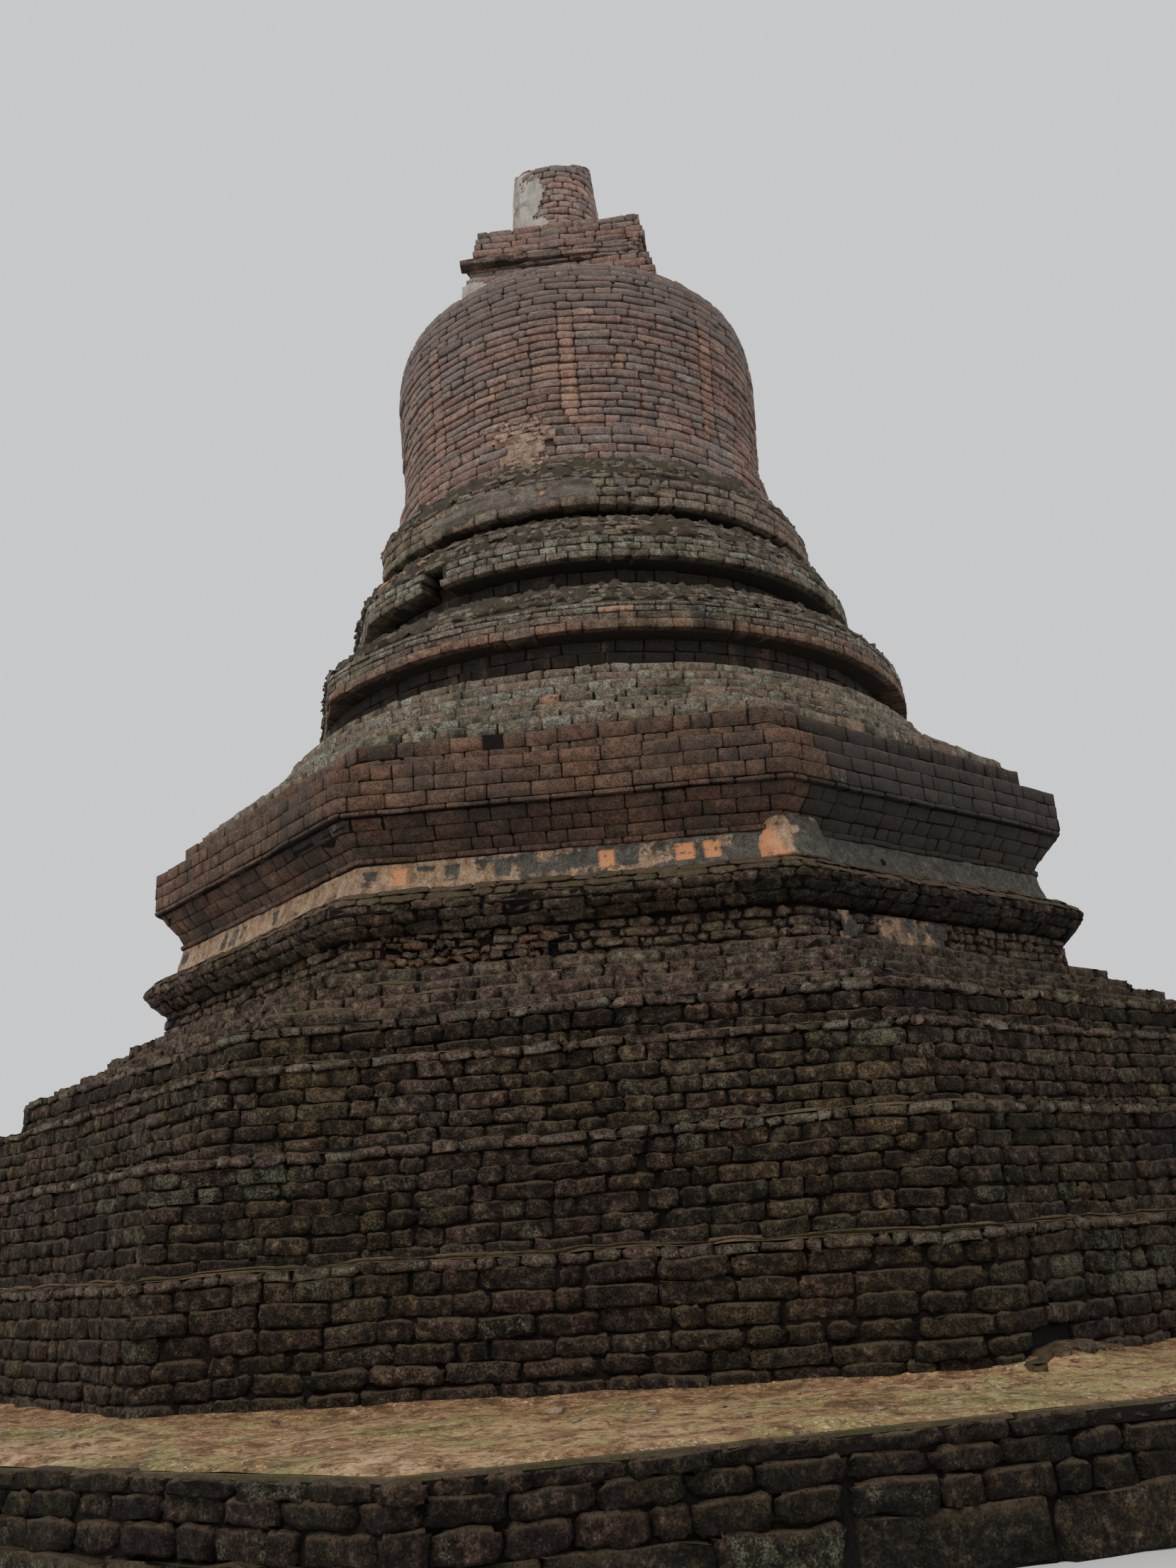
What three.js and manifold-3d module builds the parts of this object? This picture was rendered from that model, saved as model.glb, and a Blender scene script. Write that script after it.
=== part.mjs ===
// Ruined laterite stupa: an octagonal stepped base on a low terrace, a cornice, ring mouldings,
// a bell, a square block and the stub of the spire. Millimetres, +Z up.
// The origin is on the ground under the centre of the terrace; -Y is the front.
import * as THREE from 'three';
import { mergeVertices } from 'three/addons/utils/BufferGeometryUtils.js';
import Module from 'manifold-3d';

const wasm = await Module();
wasm.setup();

// Octagon radii are measured to the corners, ring radii to the outer face.
const gap = 0.4;
const sides = 8;
const roundSegments = 48;

const terrace = {
  cornerRadius: 10600,
  turnDegrees: -2.5,
  wallHeight: 640,
  wallThickness: 520,
  batter: 40,
  copingHeight: 100,
  copingThickness: 560,
};

const tiers = [
  { footRadius: 8140, topRadius: 8110, height: 990 },
  { footRadius: 8000, topRadius: 7970, height: 870 },
  { footRadius: 7430, topRadius: 7390, height: 720 },
  { footRadius: 7110, topRadius: 7070, height: 370 },
];

const slopeCourses = [
  { radius: 6790, height: 140 },
  { radius: 6510, height: 150 },
  { radius: 6230, height: 155 },
  { radius: 5980, height: 165 },
];

const underWall = { radius: 5600, height: 380 };

// Band: foot, lower chamfer, widest course, upper chamfer.
const band = [
  { radius: 5640, rise: 0 },
  { radius: 5790, rise: 115 },
  { radius: 5860, rise: 200 },
  { radius: 5860, rise: 275 },
  { radius: 5700, rise: 400 },
  { radius: 5560, rise: 460 },
];

const recessWall = { footRadius: 5515, topRadius: 5400, height: 310 };
const hump = { width: 620, height: 520, reach: 150, rise: 60, backing: 400, edge: 60 };
const lowerFillet = { radius: 5450, height: 60 };
const cymaSteps = 6;
const cyma = { footRadius: 5400, topRadius: 5690, height: 360 };
const upperFillet = { radius: 5760, height: 50 };
const fascia = { footRadius: 5740, topRadius: 5765, height: 450 };

// Roof parts: corner radius, roundness from 0 (octagon) to 1 (circle), height.
const roofParts = [
  { footRadius: 5420, topRadius: 5400, roundness: 0, height: 350 },
  { footRadius: 5290, topRadius: 5260, roundness: 0.15, height: 160 },
  { footRadius: 5120, topRadius: 5080, roundness: 0.35, height: 150 },
  { footRadius: 4870, topRadius: 4830, roundness: 0.6, height: 160 },
  { footRadius: 4760, topRadius: 4380, roundness: 0.85, height: 540 },
];

// Rings from the lowest up: neck under the lip, lip, then the crown that slopes to the next neck,
// each with its radius and its height.
const rings = [
  { name: 'ring_3', neck: [3770, 430], lip: [4100, 330], crown: [3350, 540] },
  { name: 'ring_2', neck: [3150, 320], lip: [3500, 280], crown: [2930, 560] },
  { name: 'ring_1', neck: [2810, 80], lip: [3100, 380], crown: [2670, 500] },
].map(({ name, neck, lip, crown }) => ({
  name,
  neckRadius: neck[0],
  neckHeight: neck[1],
  lipRadius: lip[0],
  lipHeight: lip[1],
  crownRadius: crown[0],
  crownHeight: crown[1],
}));
// Edge taken off a lip's foot, and where a crown bends inward, as shares of its width and height.
const lipEdge = 60;
const crownBend = { inShare: 0.38, upShare: 0.6 };
// Where the rings are broken: direction seen from above, width of the gap, how deep it goes,
// and how much of the crown over the lip has gone with it, from 0 to 1.
const breaks = {
  ring_3: [
    { azimuthDegrees: -162, width: 4200, depth: 400, crownShare: 1 },
  ],
  ring_2: [
    { azimuthDegrees: -118, width: 330, depth: 330, crownShare: 0.3 },
    { azimuthDegrees: -160, width: 3600, depth: 260, crownShare: 1 },
  ],
  ring_1: [
    { azimuthDegrees: -172, width: 3300, depth: 330, crownShare: 1 },
  ],
};

const bellBase = { footRadius: 2660, topRadius: 2630, height: 520 };
const bell = [
  { radius: 2540, rise: 0 },
  { radius: 2545, rise: 700 },
  { radius: 2580, rise: 1300 },
  { radius: 2600, rise: 1800 },
  { radius: 2580, rise: 2050 },
];
const shoulder = { flatRadius: 1930, height: 760, steps: 7 };

// Block: the places where its stepped cornice has fallen are given by their middle, size and turn.
const block = {
  baseHalf: 1370,
  baseTopHalf: 1356,
  baseHeight: 520,
  wallFootHalf: 1330,
  wallTopHalf: 1240,
  wallHeight: 280,
  corniceSteps: [
    { half: 1300, height: 70 },
    { half: 1420, height: 90 },
    { half: 1340, height: 70 },
    { half: 1250, height: 70 },
  ],
  fallen: [
    { x: 796, y: -1510, length: 3000, depth: 460, turnDegrees: 4 },
    { x: 1420, y: -1000, length: 3000, depth: 460, turnDegrees: 90 },
    { x: -1420, y: 200, length: 3000, depth: 400, turnDegrees: 90 },
  ],
  topFootHalf: 1240,
  topHalf: 1140,
  topHeight: 500,
};
// Stub: it stands a little to the left of the axis, the last stretch draws in to the rim, and the
// front half of the broken top slopes down to the front.
const stub = {
  shift: -110,
  footRadius: 700,
  topRadius: 575,
  height: 1890,
  rimRadius: 540,
  rimHeight: 60,
  breakDrop: 300,
};

const finishes = {
  terraceStone: { color: 0x2b2320, roughness: 0.95, metalness: 0 },
  earth: { color: 0x6b5638, roughness: 1, metalness: 0 },
  darkLaterite: { color: 0x2e2522, roughness: 0.95, metalness: 0 },
  mossLaterite: { color: 0x39302a, roughness: 0.95, metalness: 0 },
  redLaterite: { color: 0x4a2f25, roughness: 0.9, metalness: 0 },
  stucco: { color: 0x8a7252, roughness: 0.9, metalness: 0 },
  ringStone: { color: 0x4a423c, roughness: 0.95, metalness: 0 },
  bellBrick: { color: 0x5c4841, roughness: 0.9, metalness: 0 },
  paleRender: { color: 0x8c867c, roughness: 0.9, metalness: 0 },
};

const root = new THREE.Group();
const halfSide = Math.PI / sides;
const inradiusRatio = Math.cos(halfSide);

function addMesh(parent, name, geometry, finish) {
  const mesh = new THREE.Mesh(geometry, new THREE.MeshStandardMaterial(finishes[finish]));
  mesh.name = name;
  parent.add(mesh);
  return mesh;
}

// Solid turned about the vertical axis from radius and height pairs, closed on the axis.
function turned(profile, segments, phiStart) {
  const points = profile.map(([radius, z]) => new THREE.Vector2(radius, z));
  const first = new THREE.Vector2(0, profile[0][1]);
  const last = new THREE.Vector2(0, profile[profile.length - 1][1]);
  const geometry = new THREE.LatheGeometry([first, ...points, last], segments, phiStart, 2 * Math.PI);
  return geometry.rotateX(Math.PI / 2);
}

// Octagonal solid with a side square to -Y.
function octagon(profile) {
  return turned(profile, sides, halfSide);
}

function round(profile) {
  return turned(profile, roundSegments, 0);
}

// Distance from the centre to the edge of an octagon of unit corner radius.
function octagonReach(angle) {
  const inSide = ((angle % (2 * halfSide)) + 2 * halfSide) % (2 * halfSide);
  return inradiusRatio / Math.cos(inSide - halfSide);
}

// Square solid with sides square to the axes, from half width and height pairs.
function square(profile) {
  return turned(profile.map(([half, z]) => [half * Math.SQRT2, z]), 4, Math.PI / 4);
}

// Outline between an octagon and a circle of the same side distance.
function softOutline(cornerRadius, roundness) {
  const shape = new THREE.Shape();
  for (let i = 0; i < roundSegments; i += 1) {
    const angle = (i * 2 * Math.PI) / roundSegments;
    const cornered = octagonReach(angle - halfSide);
    const reach = cornerRadius * (cornered * (1 - roundness) + inradiusRatio * roundness);
    const x = reach * Math.cos(angle);
    const y = reach * Math.sin(angle);
    if (i === 0) {
      shape.moveTo(x, y);
    } else {
      shape.lineTo(x, y);
    }
  }
  return shape;
}

// Upright prism whose top is scaled in, so that its faces lean.
function leaningPrism(shape, z, height, topScale) {
  const geometry = new THREE.ExtrudeGeometry(shape, { depth: height, bevelEnabled: false, steps: 1 });
  const position = geometry.attributes.position;
  for (let i = 0; i < position.count; i += 1) {
    const isTop = position.getZ(i) > height / 2;
    if (isTop) {
      position.setXY(i, position.getX(i) * topScale, position.getY(i) * topScale);
    }
  }
  return geometry.translate(0, 0, z);
}

function squareShape(half) {
  const shape = new THREE.Shape();
  shape.moveTo(-half, -half);
  shape.lineTo(half, -half);
  shape.lineTo(half, half);
  shape.lineTo(-half, half);
  return shape;
}

// Closed mesh with shared vertices merged, as the boolean library reads it.
function toManifold(geometry) {
  const bare = geometry.clone();
  bare.deleteAttribute('normal');
  bare.deleteAttribute('uv');
  const merged = mergeVertices(bare, 1e-3);
  return new wasm.Manifold(new wasm.Mesh({
    numProp: 3,
    vertProperties: new Float32Array(merged.attributes.position.array),
    triVerts: new Uint32Array(merged.index.array),
  }));
}

function fromManifold(solid) {
  const mesh = solid.getMesh();
  const geometry = new THREE.BufferGeometry();
  geometry.setAttribute('position', new THREE.BufferAttribute(new Float32Array(mesh.vertProperties), 3));
  geometry.setIndex(new THREE.BufferAttribute(new Uint32Array(mesh.triVerts), 1));
  return geometry;
}

function cut(geometry, tools) {
  let solid = toManifold(geometry);
  for (const tool of tools) {
    solid = solid.subtract(toManifold(tool));
  }
  return fromManifold(solid);
}

// One side of the terrace wall, mitred at both ends and leaning in a little.
function terraceSide(cornerRadius, thickness, z, height, batter) {
  const outer = cornerRadius * inradiusRatio;
  const inner = outer - thickness;
  const slope = Math.tan(halfSide);
  const shape = new THREE.Shape();
  shape.moveTo(-outer * slope + gap, -outer);
  shape.lineTo(outer * slope - gap, -outer);
  shape.lineTo(inner * slope - gap, -inner);
  shape.lineTo(-inner * slope + gap, -inner);
  const geometry = new THREE.ExtrudeGeometry(shape, { depth: height, bevelEnabled: false, steps: 1 });
  const position = geometry.attributes.position;
  for (let i = 0; i < position.count; i += 1) {
    const isOuterTop = position.getZ(i) > height / 2 && position.getY(i) < -(outer + inner) / 2;
    if (isOuterTop) {
      position.setY(i, position.getY(i) + batter);
      position.setX(i, position.getX(i) - Math.sign(position.getX(i)) * batter * slope);
    }
  }
  return geometry.translate(0, 0, z);
}

function buildTerrace() {
  const group = new THREE.Group();
  group.rotation.z = THREE.MathUtils.degToRad(terrace.turnDegrees);
  for (let i = 0; i < sides; i += 1) {
    const wall = terraceSide(
      terrace.cornerRadius, terrace.wallThickness, 0, terrace.wallHeight, terrace.batter);
    wall.rotateZ((i + 0.5) * 2 * halfSide);
    addMesh(group, `terrace_wall_${i + 1}`, wall, 'terraceStone');
  }
  const copingRadius = terrace.cornerRadius - terrace.batter * 0.4;
  const copingInner = copingRadius - terrace.copingThickness / inradiusRatio;
  const top = terrace.wallHeight + terrace.copingHeight;
  const coping = turned(
    [[copingRadius, terrace.wallHeight], [copingRadius, top - 20], [copingRadius - 25, top]], sides, 0);
  const hole = turned([[copingInner, terrace.wallHeight - 100], [copingInner, top + 100]], sides, 0);
  addMesh(group, 'terrace_coping', cut(coping, [hole]), 'terraceStone');
  const fillRadius = copingInner - gap;
  const fill = turned([[fillRadius, 0], [fillRadius, top]], sides, 0);
  addMesh(group, 'terrace_fill', fill, 'earth');
  root.add(group);
  return top;
}

function buildTiers(foot) {
  let z = foot;
  tiers.forEach((tier, i) => {
    const profile = [[tier.footRadius, z], [tier.topRadius, z + tier.height]];
    addMesh(root, `base_tier_${i + 1}`, octagon(profile), 'darkLaterite');
    z += tier.height;
  });
  return z;
}

function buildSlope(foot) {
  let z = foot;
  slopeCourses.forEach((course, i) => {
    const nosing = 50;
    const profile = [
      [course.radius, z],
      [course.radius, z + course.height - nosing],
      [course.radius - nosing, z + course.height],
    ];
    addMesh(root, `slope_course_${i + 1}`, octagon(profile), 'mossLaterite');
    z += course.height;
  });
  return z;
}

function buildBand(foot) {
  const top = foot + underWall.height;
  const wall = octagon([[underWall.radius, foot], [underWall.radius, top]]);
  addMesh(root, 'band_underwall', wall, 'mossLaterite');
  const profile = band.map((step) => [step.radius, top + step.rise]);
  addMesh(root, 'octagon_band', octagon(profile), 'darkLaterite');
  return top + band[band.length - 1].rise;
}

// What is left of the stucco over the front right corner: a rounded lump against the recess wall.
function humpShape() {
  const half = hump.width / 2;
  const shape = new THREE.Shape();
  shape.moveTo(-half, 0);
  shape.lineTo(half, 0);
  shape.lineTo(half * 0.9, hump.height * 0.62);
  shape.quadraticCurveTo(half * 0.55, hump.height, 0, hump.height);
  shape.quadraticCurveTo(-half * 0.5, hump.height, -half * 0.62, hump.height * 0.66);
  shape.quadraticCurveTo(-half * 0.7, hump.height * 0.4, -half, hump.height * 0.3);
  return shape;
}

function buildRecess(foot) {
  const top = foot + recessWall.height;
  const wall = octagon([[recessWall.footRadius, foot], [recessWall.topRadius, top]]);
  addMesh(root, 'recess_wall', wall, 'stucco');
  return top;
}

// Cyma: an outward curve from the recess to the fascia, in short leaning steps.
function cymaProfile(z) {
  const profile = [];
  for (let i = 0; i <= cymaSteps; i += 1) {
    const t = i / cymaSteps;
    const flare = 0.5 - 0.5 * Math.cos(Math.PI * t);
    const radius = cyma.footRadius + (cyma.topRadius - cyma.footRadius) * flare;
    profile.push([radius, z + cyma.height * t]);
  }
  return profile;
}

function buildCornice(foot) {
  let z = foot;
  const fillet = octagon([[lowerFillet.radius, z], [lowerFillet.radius, z + lowerFillet.height]]);
  addMesh(root, 'cornice_lower_fillet', fillet, 'redLaterite');
  z += lowerFillet.height;
  addMesh(root, 'cornice_cyma', octagon(cymaProfile(z)), 'redLaterite');
  z += cyma.height;
  const drip = octagon([[upperFillet.radius, z], [upperFillet.radius, z + upperFillet.height]]);
  addMesh(root, 'cornice_upper_fillet', drip, 'redLaterite');
  z += upperFillet.height;
  const face = octagon([[fascia.footRadius, z], [fascia.topRadius, z + fascia.height]]);
  addMesh(root, 'cornice_fascia', face, 'redLaterite');
  return z + fascia.height;
}

// The stucco lump leans on the recess wall, the lower fillet and the cyma, and is cut to them.
function buildHump(foot) {
  const cornerAngle = -Math.PI / 2 + halfSide;
  const shape = humpShape();
  const lump = new THREE.ExtrudeGeometry(shape, {
    depth: hump.reach + hump.backing,
    bevelEnabled: true,
    bevelSize: hump.edge,
    bevelThickness: hump.edge,
    bevelSegments: 3,
    curveSegments: 6,
  });
  lump.rotateX(Math.PI / 2);
  lump.rotateZ(cornerAngle + Math.PI / 2);
  const reach = recessWall.footRadius + hump.reach;
  const start = reach - hump.reach - hump.backing;
  lump.translate(start * Math.cos(cornerAngle), start * Math.sin(cornerAngle), foot + hump.rise + gap);
  const grown = 0.5;
  const beyond = upperFillet.radius + hump.backing;
  const wallTop = foot + recessWall.height;
  const filletTop = wallTop + lowerFillet.height;
  const cymaTop = filletTop + cyma.height;
  const backing = octagon([
    [recessWall.footRadius + grown, foot - 10],
    [recessWall.footRadius + grown, foot],
    [recessWall.topRadius + grown, wallTop - grown],
    [lowerFillet.radius + grown, wallTop - grown],
    [lowerFillet.radius + grown, filletTop + grown],
    ...cymaProfile(filletTop - grown).slice(1, -1).map(([radius, z]) => [radius + grown, z]),
    [cyma.topRadius + grown, cymaTop - grown],
    [beyond, cymaTop - grown],
    [beyond, cymaTop + 1000],
  ]);
  addMesh(root, 'stucco_hump', cut(lump, [backing]), 'stucco');
}

function buildRoof(foot) {
  let z = foot;
  roofParts.forEach((part, i) => {
    const shape = softOutline(part.footRadius, part.roundness);
    const geometry = leaningPrism(shape, z, part.height, part.topRadius / part.footRadius);
    addMesh(root, `roof_part_${i + 1}`, geometry, i < 1 ? 'redLaterite' : 'mossLaterite');
    z += part.height;
  });
  return z;
}

// Tool that takes the outer part of a ring away over some width, in one direction.
function breakTool(ring, missing, lipFoot) {
  const reach = 2000;
  const overlap = 100;
  const height = ring.lipHeight + ring.crownHeight * missing.crownShare;
  const tool = new THREE.BoxGeometry(reach, missing.width, height + 2 * overlap);
  tool.translate(reach / 2 + ring.lipRadius - missing.depth, 0, lipFoot + height / 2);
  tool.rotateZ(THREE.MathUtils.degToRad(missing.azimuthDegrees));
  return tool;
}

function buildRings(foot) {
  let z = foot;
  for (const ring of rings) {
    const neckTop = z + ring.neckHeight;
    const neck = round([[ring.neckRadius, z], [ring.neckRadius, neckTop]]);
    addMesh(root, `${ring.name}_neck`, neck, 'ringStone');
    const lipTop = neckTop + ring.lipHeight;
    const crownTop = lipTop + ring.crownHeight;
    const crownMiddle = ring.lipRadius - (ring.lipRadius - ring.crownRadius) * crownBend.inShare;
    const profile = [
      [ring.lipRadius - lipEdge, neckTop],
      [ring.lipRadius, neckTop + lipEdge],
      [ring.lipRadius, lipTop],
      [crownMiddle, lipTop + ring.crownHeight * crownBend.upShare],
      [ring.crownRadius, crownTop],
    ];
    const tools = breaks[ring.name].map((missing) => breakTool(ring, missing, neckTop));
    addMesh(root, `${ring.name}_moulding`, cut(round(profile), tools), 'ringStone');
    z = crownTop;
  }
  return z;
}

function buildBell(foot) {
  const bodyFoot = foot + bellBase.height;
  const base = round([[bellBase.footRadius, foot], [bellBase.topRadius, bodyFoot]]);
  addMesh(root, 'bell_base', base, 'bellBrick');
  addMesh(root, 'bell_body', round(bell.map((step) => [step.radius, bodyFoot + step.rise])), 'bellBrick');
  const bodyTop = bodyFoot + bell[bell.length - 1].rise;
  const widest = bell[bell.length - 1].radius;
  const profile = [];
  for (let i = 0; i <= shoulder.steps; i += 1) {
    const angle = (i / shoulder.steps) * (Math.PI / 2);
    const radius = shoulder.flatRadius + (widest - shoulder.flatRadius) * Math.cos(angle);
    profile.push([radius, bodyTop + shoulder.height * Math.sin(angle)]);
  }
  addMesh(root, 'bell_shoulder', round(profile), 'bellBrick');
  return bodyTop + shoulder.height;
}

function buildBlock(foot) {
  let z = foot;
  const base = leaningPrism(
    squareShape(block.baseHalf), z, block.baseHeight, block.baseTopHalf / block.baseHalf);
  addMesh(root, 'block_base', base, 'paleRender');
  z += block.baseHeight;
  const wall = leaningPrism(
    squareShape(block.wallFootHalf), z, block.wallHeight, block.wallTopHalf / block.wallFootHalf);
  addMesh(root, 'block_box', wall, 'paleRender');
  z += block.wallHeight;
  // The cornice is stepped. Most of it has fallen, but for the front left corner and the back.
  const corniceFoot = z;
  const profile = [];
  for (const step of block.corniceSteps) {
    profile.push([step.half, z], [step.half, z + step.height]);
    z += step.height;
  }
  const middle = (corniceFoot + z) / 2;
  const tall = 2 * (z - corniceFoot);
  const tools = block.fallen.map((part) => {
    const tool = new THREE.BoxGeometry(part.length, part.depth, tall);
    tool.rotateZ(THREE.MathUtils.degToRad(part.turnDegrees));
    tool.translate(part.x, part.y, middle);
    return tool;
  });
  addMesh(root, 'block_cornice', cut(square(profile), tools), 'bellBrick');
  const topScale = block.topHalf / block.topFootHalf;
  const top = leaningPrism(squareShape(block.topFootHalf), z, block.topHeight, topScale);
  addMesh(root, 'block_top', top, 'bellBrick');
  return z + block.topHeight;
}

function buildStub(foot) {
  const top = foot + stub.height;
  const whole = round([
    [stub.footRadius, foot],
    [stub.topRadius, top - stub.rimHeight],
    [stub.rimRadius, top],
  ]);
  const knifeSize = 4 * stub.footRadius;
  const knife = new THREE.BoxGeometry(knifeSize, knifeSize, knifeSize);
  knife.translate(0, 0, knifeSize / 2);
  knife.rotateX(Math.atan(stub.breakDrop / stub.topRadius));
  knife.translate(0, 0, top);
  addMesh(root, 'spire_stub', cut(whole, [knife]).translate(stub.shift, 0, 0), 'paleRender');
}

const terraceTop = buildTerrace();
const tiersTop = buildTiers(terraceTop);
const slopeTop = buildSlope(tiersTop);
const bandTop = buildBand(slopeTop);
const recessTop = buildRecess(bandTop);
const corniceTop = buildCornice(recessTop);
buildHump(bandTop);
const roofTop = buildRoof(corniceTop);
const ringsTop = buildRings(roofTop);
const bellTop = buildBell(ringsTop);
const blockTop = buildBlock(bellTop);
buildStub(blockTop);

export default root;
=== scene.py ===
import math
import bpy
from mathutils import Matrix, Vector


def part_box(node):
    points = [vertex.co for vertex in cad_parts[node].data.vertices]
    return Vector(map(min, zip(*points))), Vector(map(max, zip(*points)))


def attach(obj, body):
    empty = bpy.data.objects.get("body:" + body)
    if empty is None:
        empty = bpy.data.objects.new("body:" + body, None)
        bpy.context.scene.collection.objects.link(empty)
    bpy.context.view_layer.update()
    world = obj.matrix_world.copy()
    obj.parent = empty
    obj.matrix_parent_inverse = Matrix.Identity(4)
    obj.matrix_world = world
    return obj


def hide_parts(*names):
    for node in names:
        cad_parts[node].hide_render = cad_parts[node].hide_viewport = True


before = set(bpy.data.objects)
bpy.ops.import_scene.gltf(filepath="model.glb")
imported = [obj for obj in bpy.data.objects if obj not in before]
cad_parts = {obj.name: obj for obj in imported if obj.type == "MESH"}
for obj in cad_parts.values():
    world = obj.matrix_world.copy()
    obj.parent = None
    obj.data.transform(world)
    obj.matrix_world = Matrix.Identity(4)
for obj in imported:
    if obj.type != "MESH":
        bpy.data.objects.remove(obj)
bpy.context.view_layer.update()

from types import SimpleNamespace

import bmesh
import bpy
import numpy as np
from mathutils import Matrix, Vector

scene = bpy.context.scene
baseTurn = math.radians(22.5)         # the base has a side square to the front
terraceTurn = math.radians(-2.5)      # the terrace's corners stand this much off the axes
blockTurn = math.radians(45)          # the square block on the bell is square to the front
octagonSide = math.cos(math.pi / 8)   # side distance of an octagon for a corner radius of 1

# Camera: where the photograph was taken from, in metres; the eye is measured from the terrace top
cameraSet = dict(place=(1.426, -18.011), eyeOverTerrace=1.018, yaw=-5.18, pitch=18.37, roll=-3.89, lens=32.03,
                 sensor=36, clipEnd=500)


def placeCamera():
    yaw, pitch, roll = (math.radians(cameraSet[k]) for k in ("yaw", "pitch", "roll"))
    ahead = Vector((math.sin(yaw) * math.cos(pitch), math.cos(yaw) * math.cos(pitch), math.sin(pitch)))
    level = Vector((math.cos(yaw), -math.sin(yaw), 0))
    above = level.cross(ahead)
    right = level * math.cos(roll) + above * math.sin(roll)
    up = above * math.cos(roll) - level * math.sin(roll)
    data = bpy.data.cameras.new("camera")
    data.lens = cameraSet["lens"]
    data.sensor_width = cameraSet["sensor"]
    data.clip_end = cameraSet["clipEnd"]
    camera = bpy.data.objects.new("camera", data)
    scene.collection.objects.link(camera)
    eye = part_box("terrace_fill")[1].z + cameraSet["eyeOverTerrace"]
    turn = Matrix((right, up, -ahead)).transposed().to_4x4()
    camera.matrix_world = Matrix.Translation((*cameraSet["place"], eye)) @ turn
    scene.camera = camera


placeCamera()
print("camera set")


# Material helpers
def newMaterial(name):
    # the material, the function that adds nodes to it, and the place on the piece
    material = bpy.data.materials.new(name)
    material.use_nodes = True
    tree = material.node_tree
    tree.nodes.clear()

    def make(kind, inputs=None, **settings):
        made = tree.nodes.new("ShaderNode" + kind)
        for key, value in settings.items():
            setattr(made, key, value)
        for key, value in (inputs or {}).items():
            if isinstance(value, bpy.types.NodeSocket):
                tree.links.new(value, made.inputs[key])
            else:
                made.inputs[key].default_value = value
        return made

    return material, make, make("TexCoord").outputs["Object"]


def ramp(make, fac, stops, colours):
    made = make("ValToRGB", {"Fac": fac})
    band = made.color_ramp
    while len(band.elements) < len(stops):
        band.elements.new(0.5)
    for element, at, colour in zip(band.elements, stops, colours):
        element.position = at
        element.color = (*colour, 1)
    return made.outputs["Color"]


def fade(make, value, low, high, lowOut=0.0, highOut=1.0):
    ends = {"From Min": low, "From Max": high, "To Min": lowOut, "To Max": highOut}
    return make("MapRange", {"Value": value, **ends}, interpolation_type="SMOOTHSTEP").outputs["Result"]


def blend(make, fac, first, second, mode="MIX"):
    made = make("Mix", data_type="RGBA", blend_type=mode)
    for socket, value in ((made.inputs[0], fac), (made.inputs[6], first), (made.inputs[7], second)):
        if isinstance(value, bpy.types.NodeSocket):
            made.id_data.links.new(value, socket)
        else:
            socket.default_value = value if isinstance(value, (int, float)) else (*value, 1)
    return made.outputs[2]


def tint(make, colour, by):
    return blend(make, 1.0, colour, by, "MULTIPLY")


def sums(make, *terms):
    total = None
    for value, weight in terms:
        part = times(make, value, weight)
        total = part if total is None else make("Math", {0: total, 1: part}, operation="ADD").outputs[0]
    return total


def times(make, first, second):
    return make("Math", {0: first, 1: second}, operation="MULTIPLY").outputs[0]


def less(make, first, second):
    return make("Math", {0: first, 1: second}, operation="SUBTRACT").outputs[0]


def noise(make, where, scale, detail=5.0, roughness=0.6, distortion=0.0):
    return make("TexNoise", {"Vector": where, "Scale": scale, "Detail": detail, "Roughness": roughness,
                             "Distortion": distortion}).outputs["Fac"]


def cells(make, where, scale):
    return make("TexVoronoi", {"Vector": where, "Scale": scale, "Randomness": 1.0}).outputs["Distance"]


def scaled(make, where, scale):
    return make("Mapping", {"Vector": where, "Scale": scale}).outputs["Vector"]


def mark(make, name):
    return make("Attribute", attribute_name=name).outputs["Fac"]


def shades(make, colour, value):
    return tint(make, colour, make("CombineXYZ", {0: value, 1: value, 2: value}).outputs[0])


def upwards(make):
    return make("SeparateXYZ", {0: make("NewGeometry").outputs["Normal"]}).outputs["Z"]


surfaceSet = {"Roughness": 0.95, "Specular IOR Level": 0.2}


def finish(make, colour, height, depth):
    bump = make("Bump", {"Strength": 1.0, "Distance": depth, "Height": height}).outputs["Normal"]
    shader = make("BsdfPrincipled", {"Base Color": colour, "Normal": bump, **surfaceSet})
    make("OutputMaterial", {"Surface": shader.outputs[0]})


# Laterite: brown stone full of pits; the marks on the blocks say which are warm, fresh, lichened or sooty,
# and where shade is painted.
# The five colours of the ramp go from dark to pale.
stoneStops = (0.0, 0.30, 0.55, 0.80, 1.0)
laterite = dict(
    ramp=((0.0050, 0.0038, 0.0031), (0.0155, 0.0113, 0.0091), (0.0410, 0.0300, 0.0238), (0.105, 0.078, 0.061),
          (0.200, 0.155, 0.124)),
    cool=(0.93, 0.99, 0.90), warm=(1.16, 0.96, 0.90), fresh=(0.235, 0.120, 0.066),
    lichen=(0.165, 0.168, 0.112), dust=(0.105, 0.076, 0.046), moss=(0.056, 0.050, 0.022), mossFrom=0.57,
    soot=(0.009, 0.008, 0.007),
    sootAmount=0.40, sootRange=(0.60, 0.74), streak=(5.1, 5.1, 0.45), relief=0.045, toneShare=0.27,
    mottleShare=2.2, film=(0.88, 0.95, 0.72), specks=0.60, jointShade=0.90,
)
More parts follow.
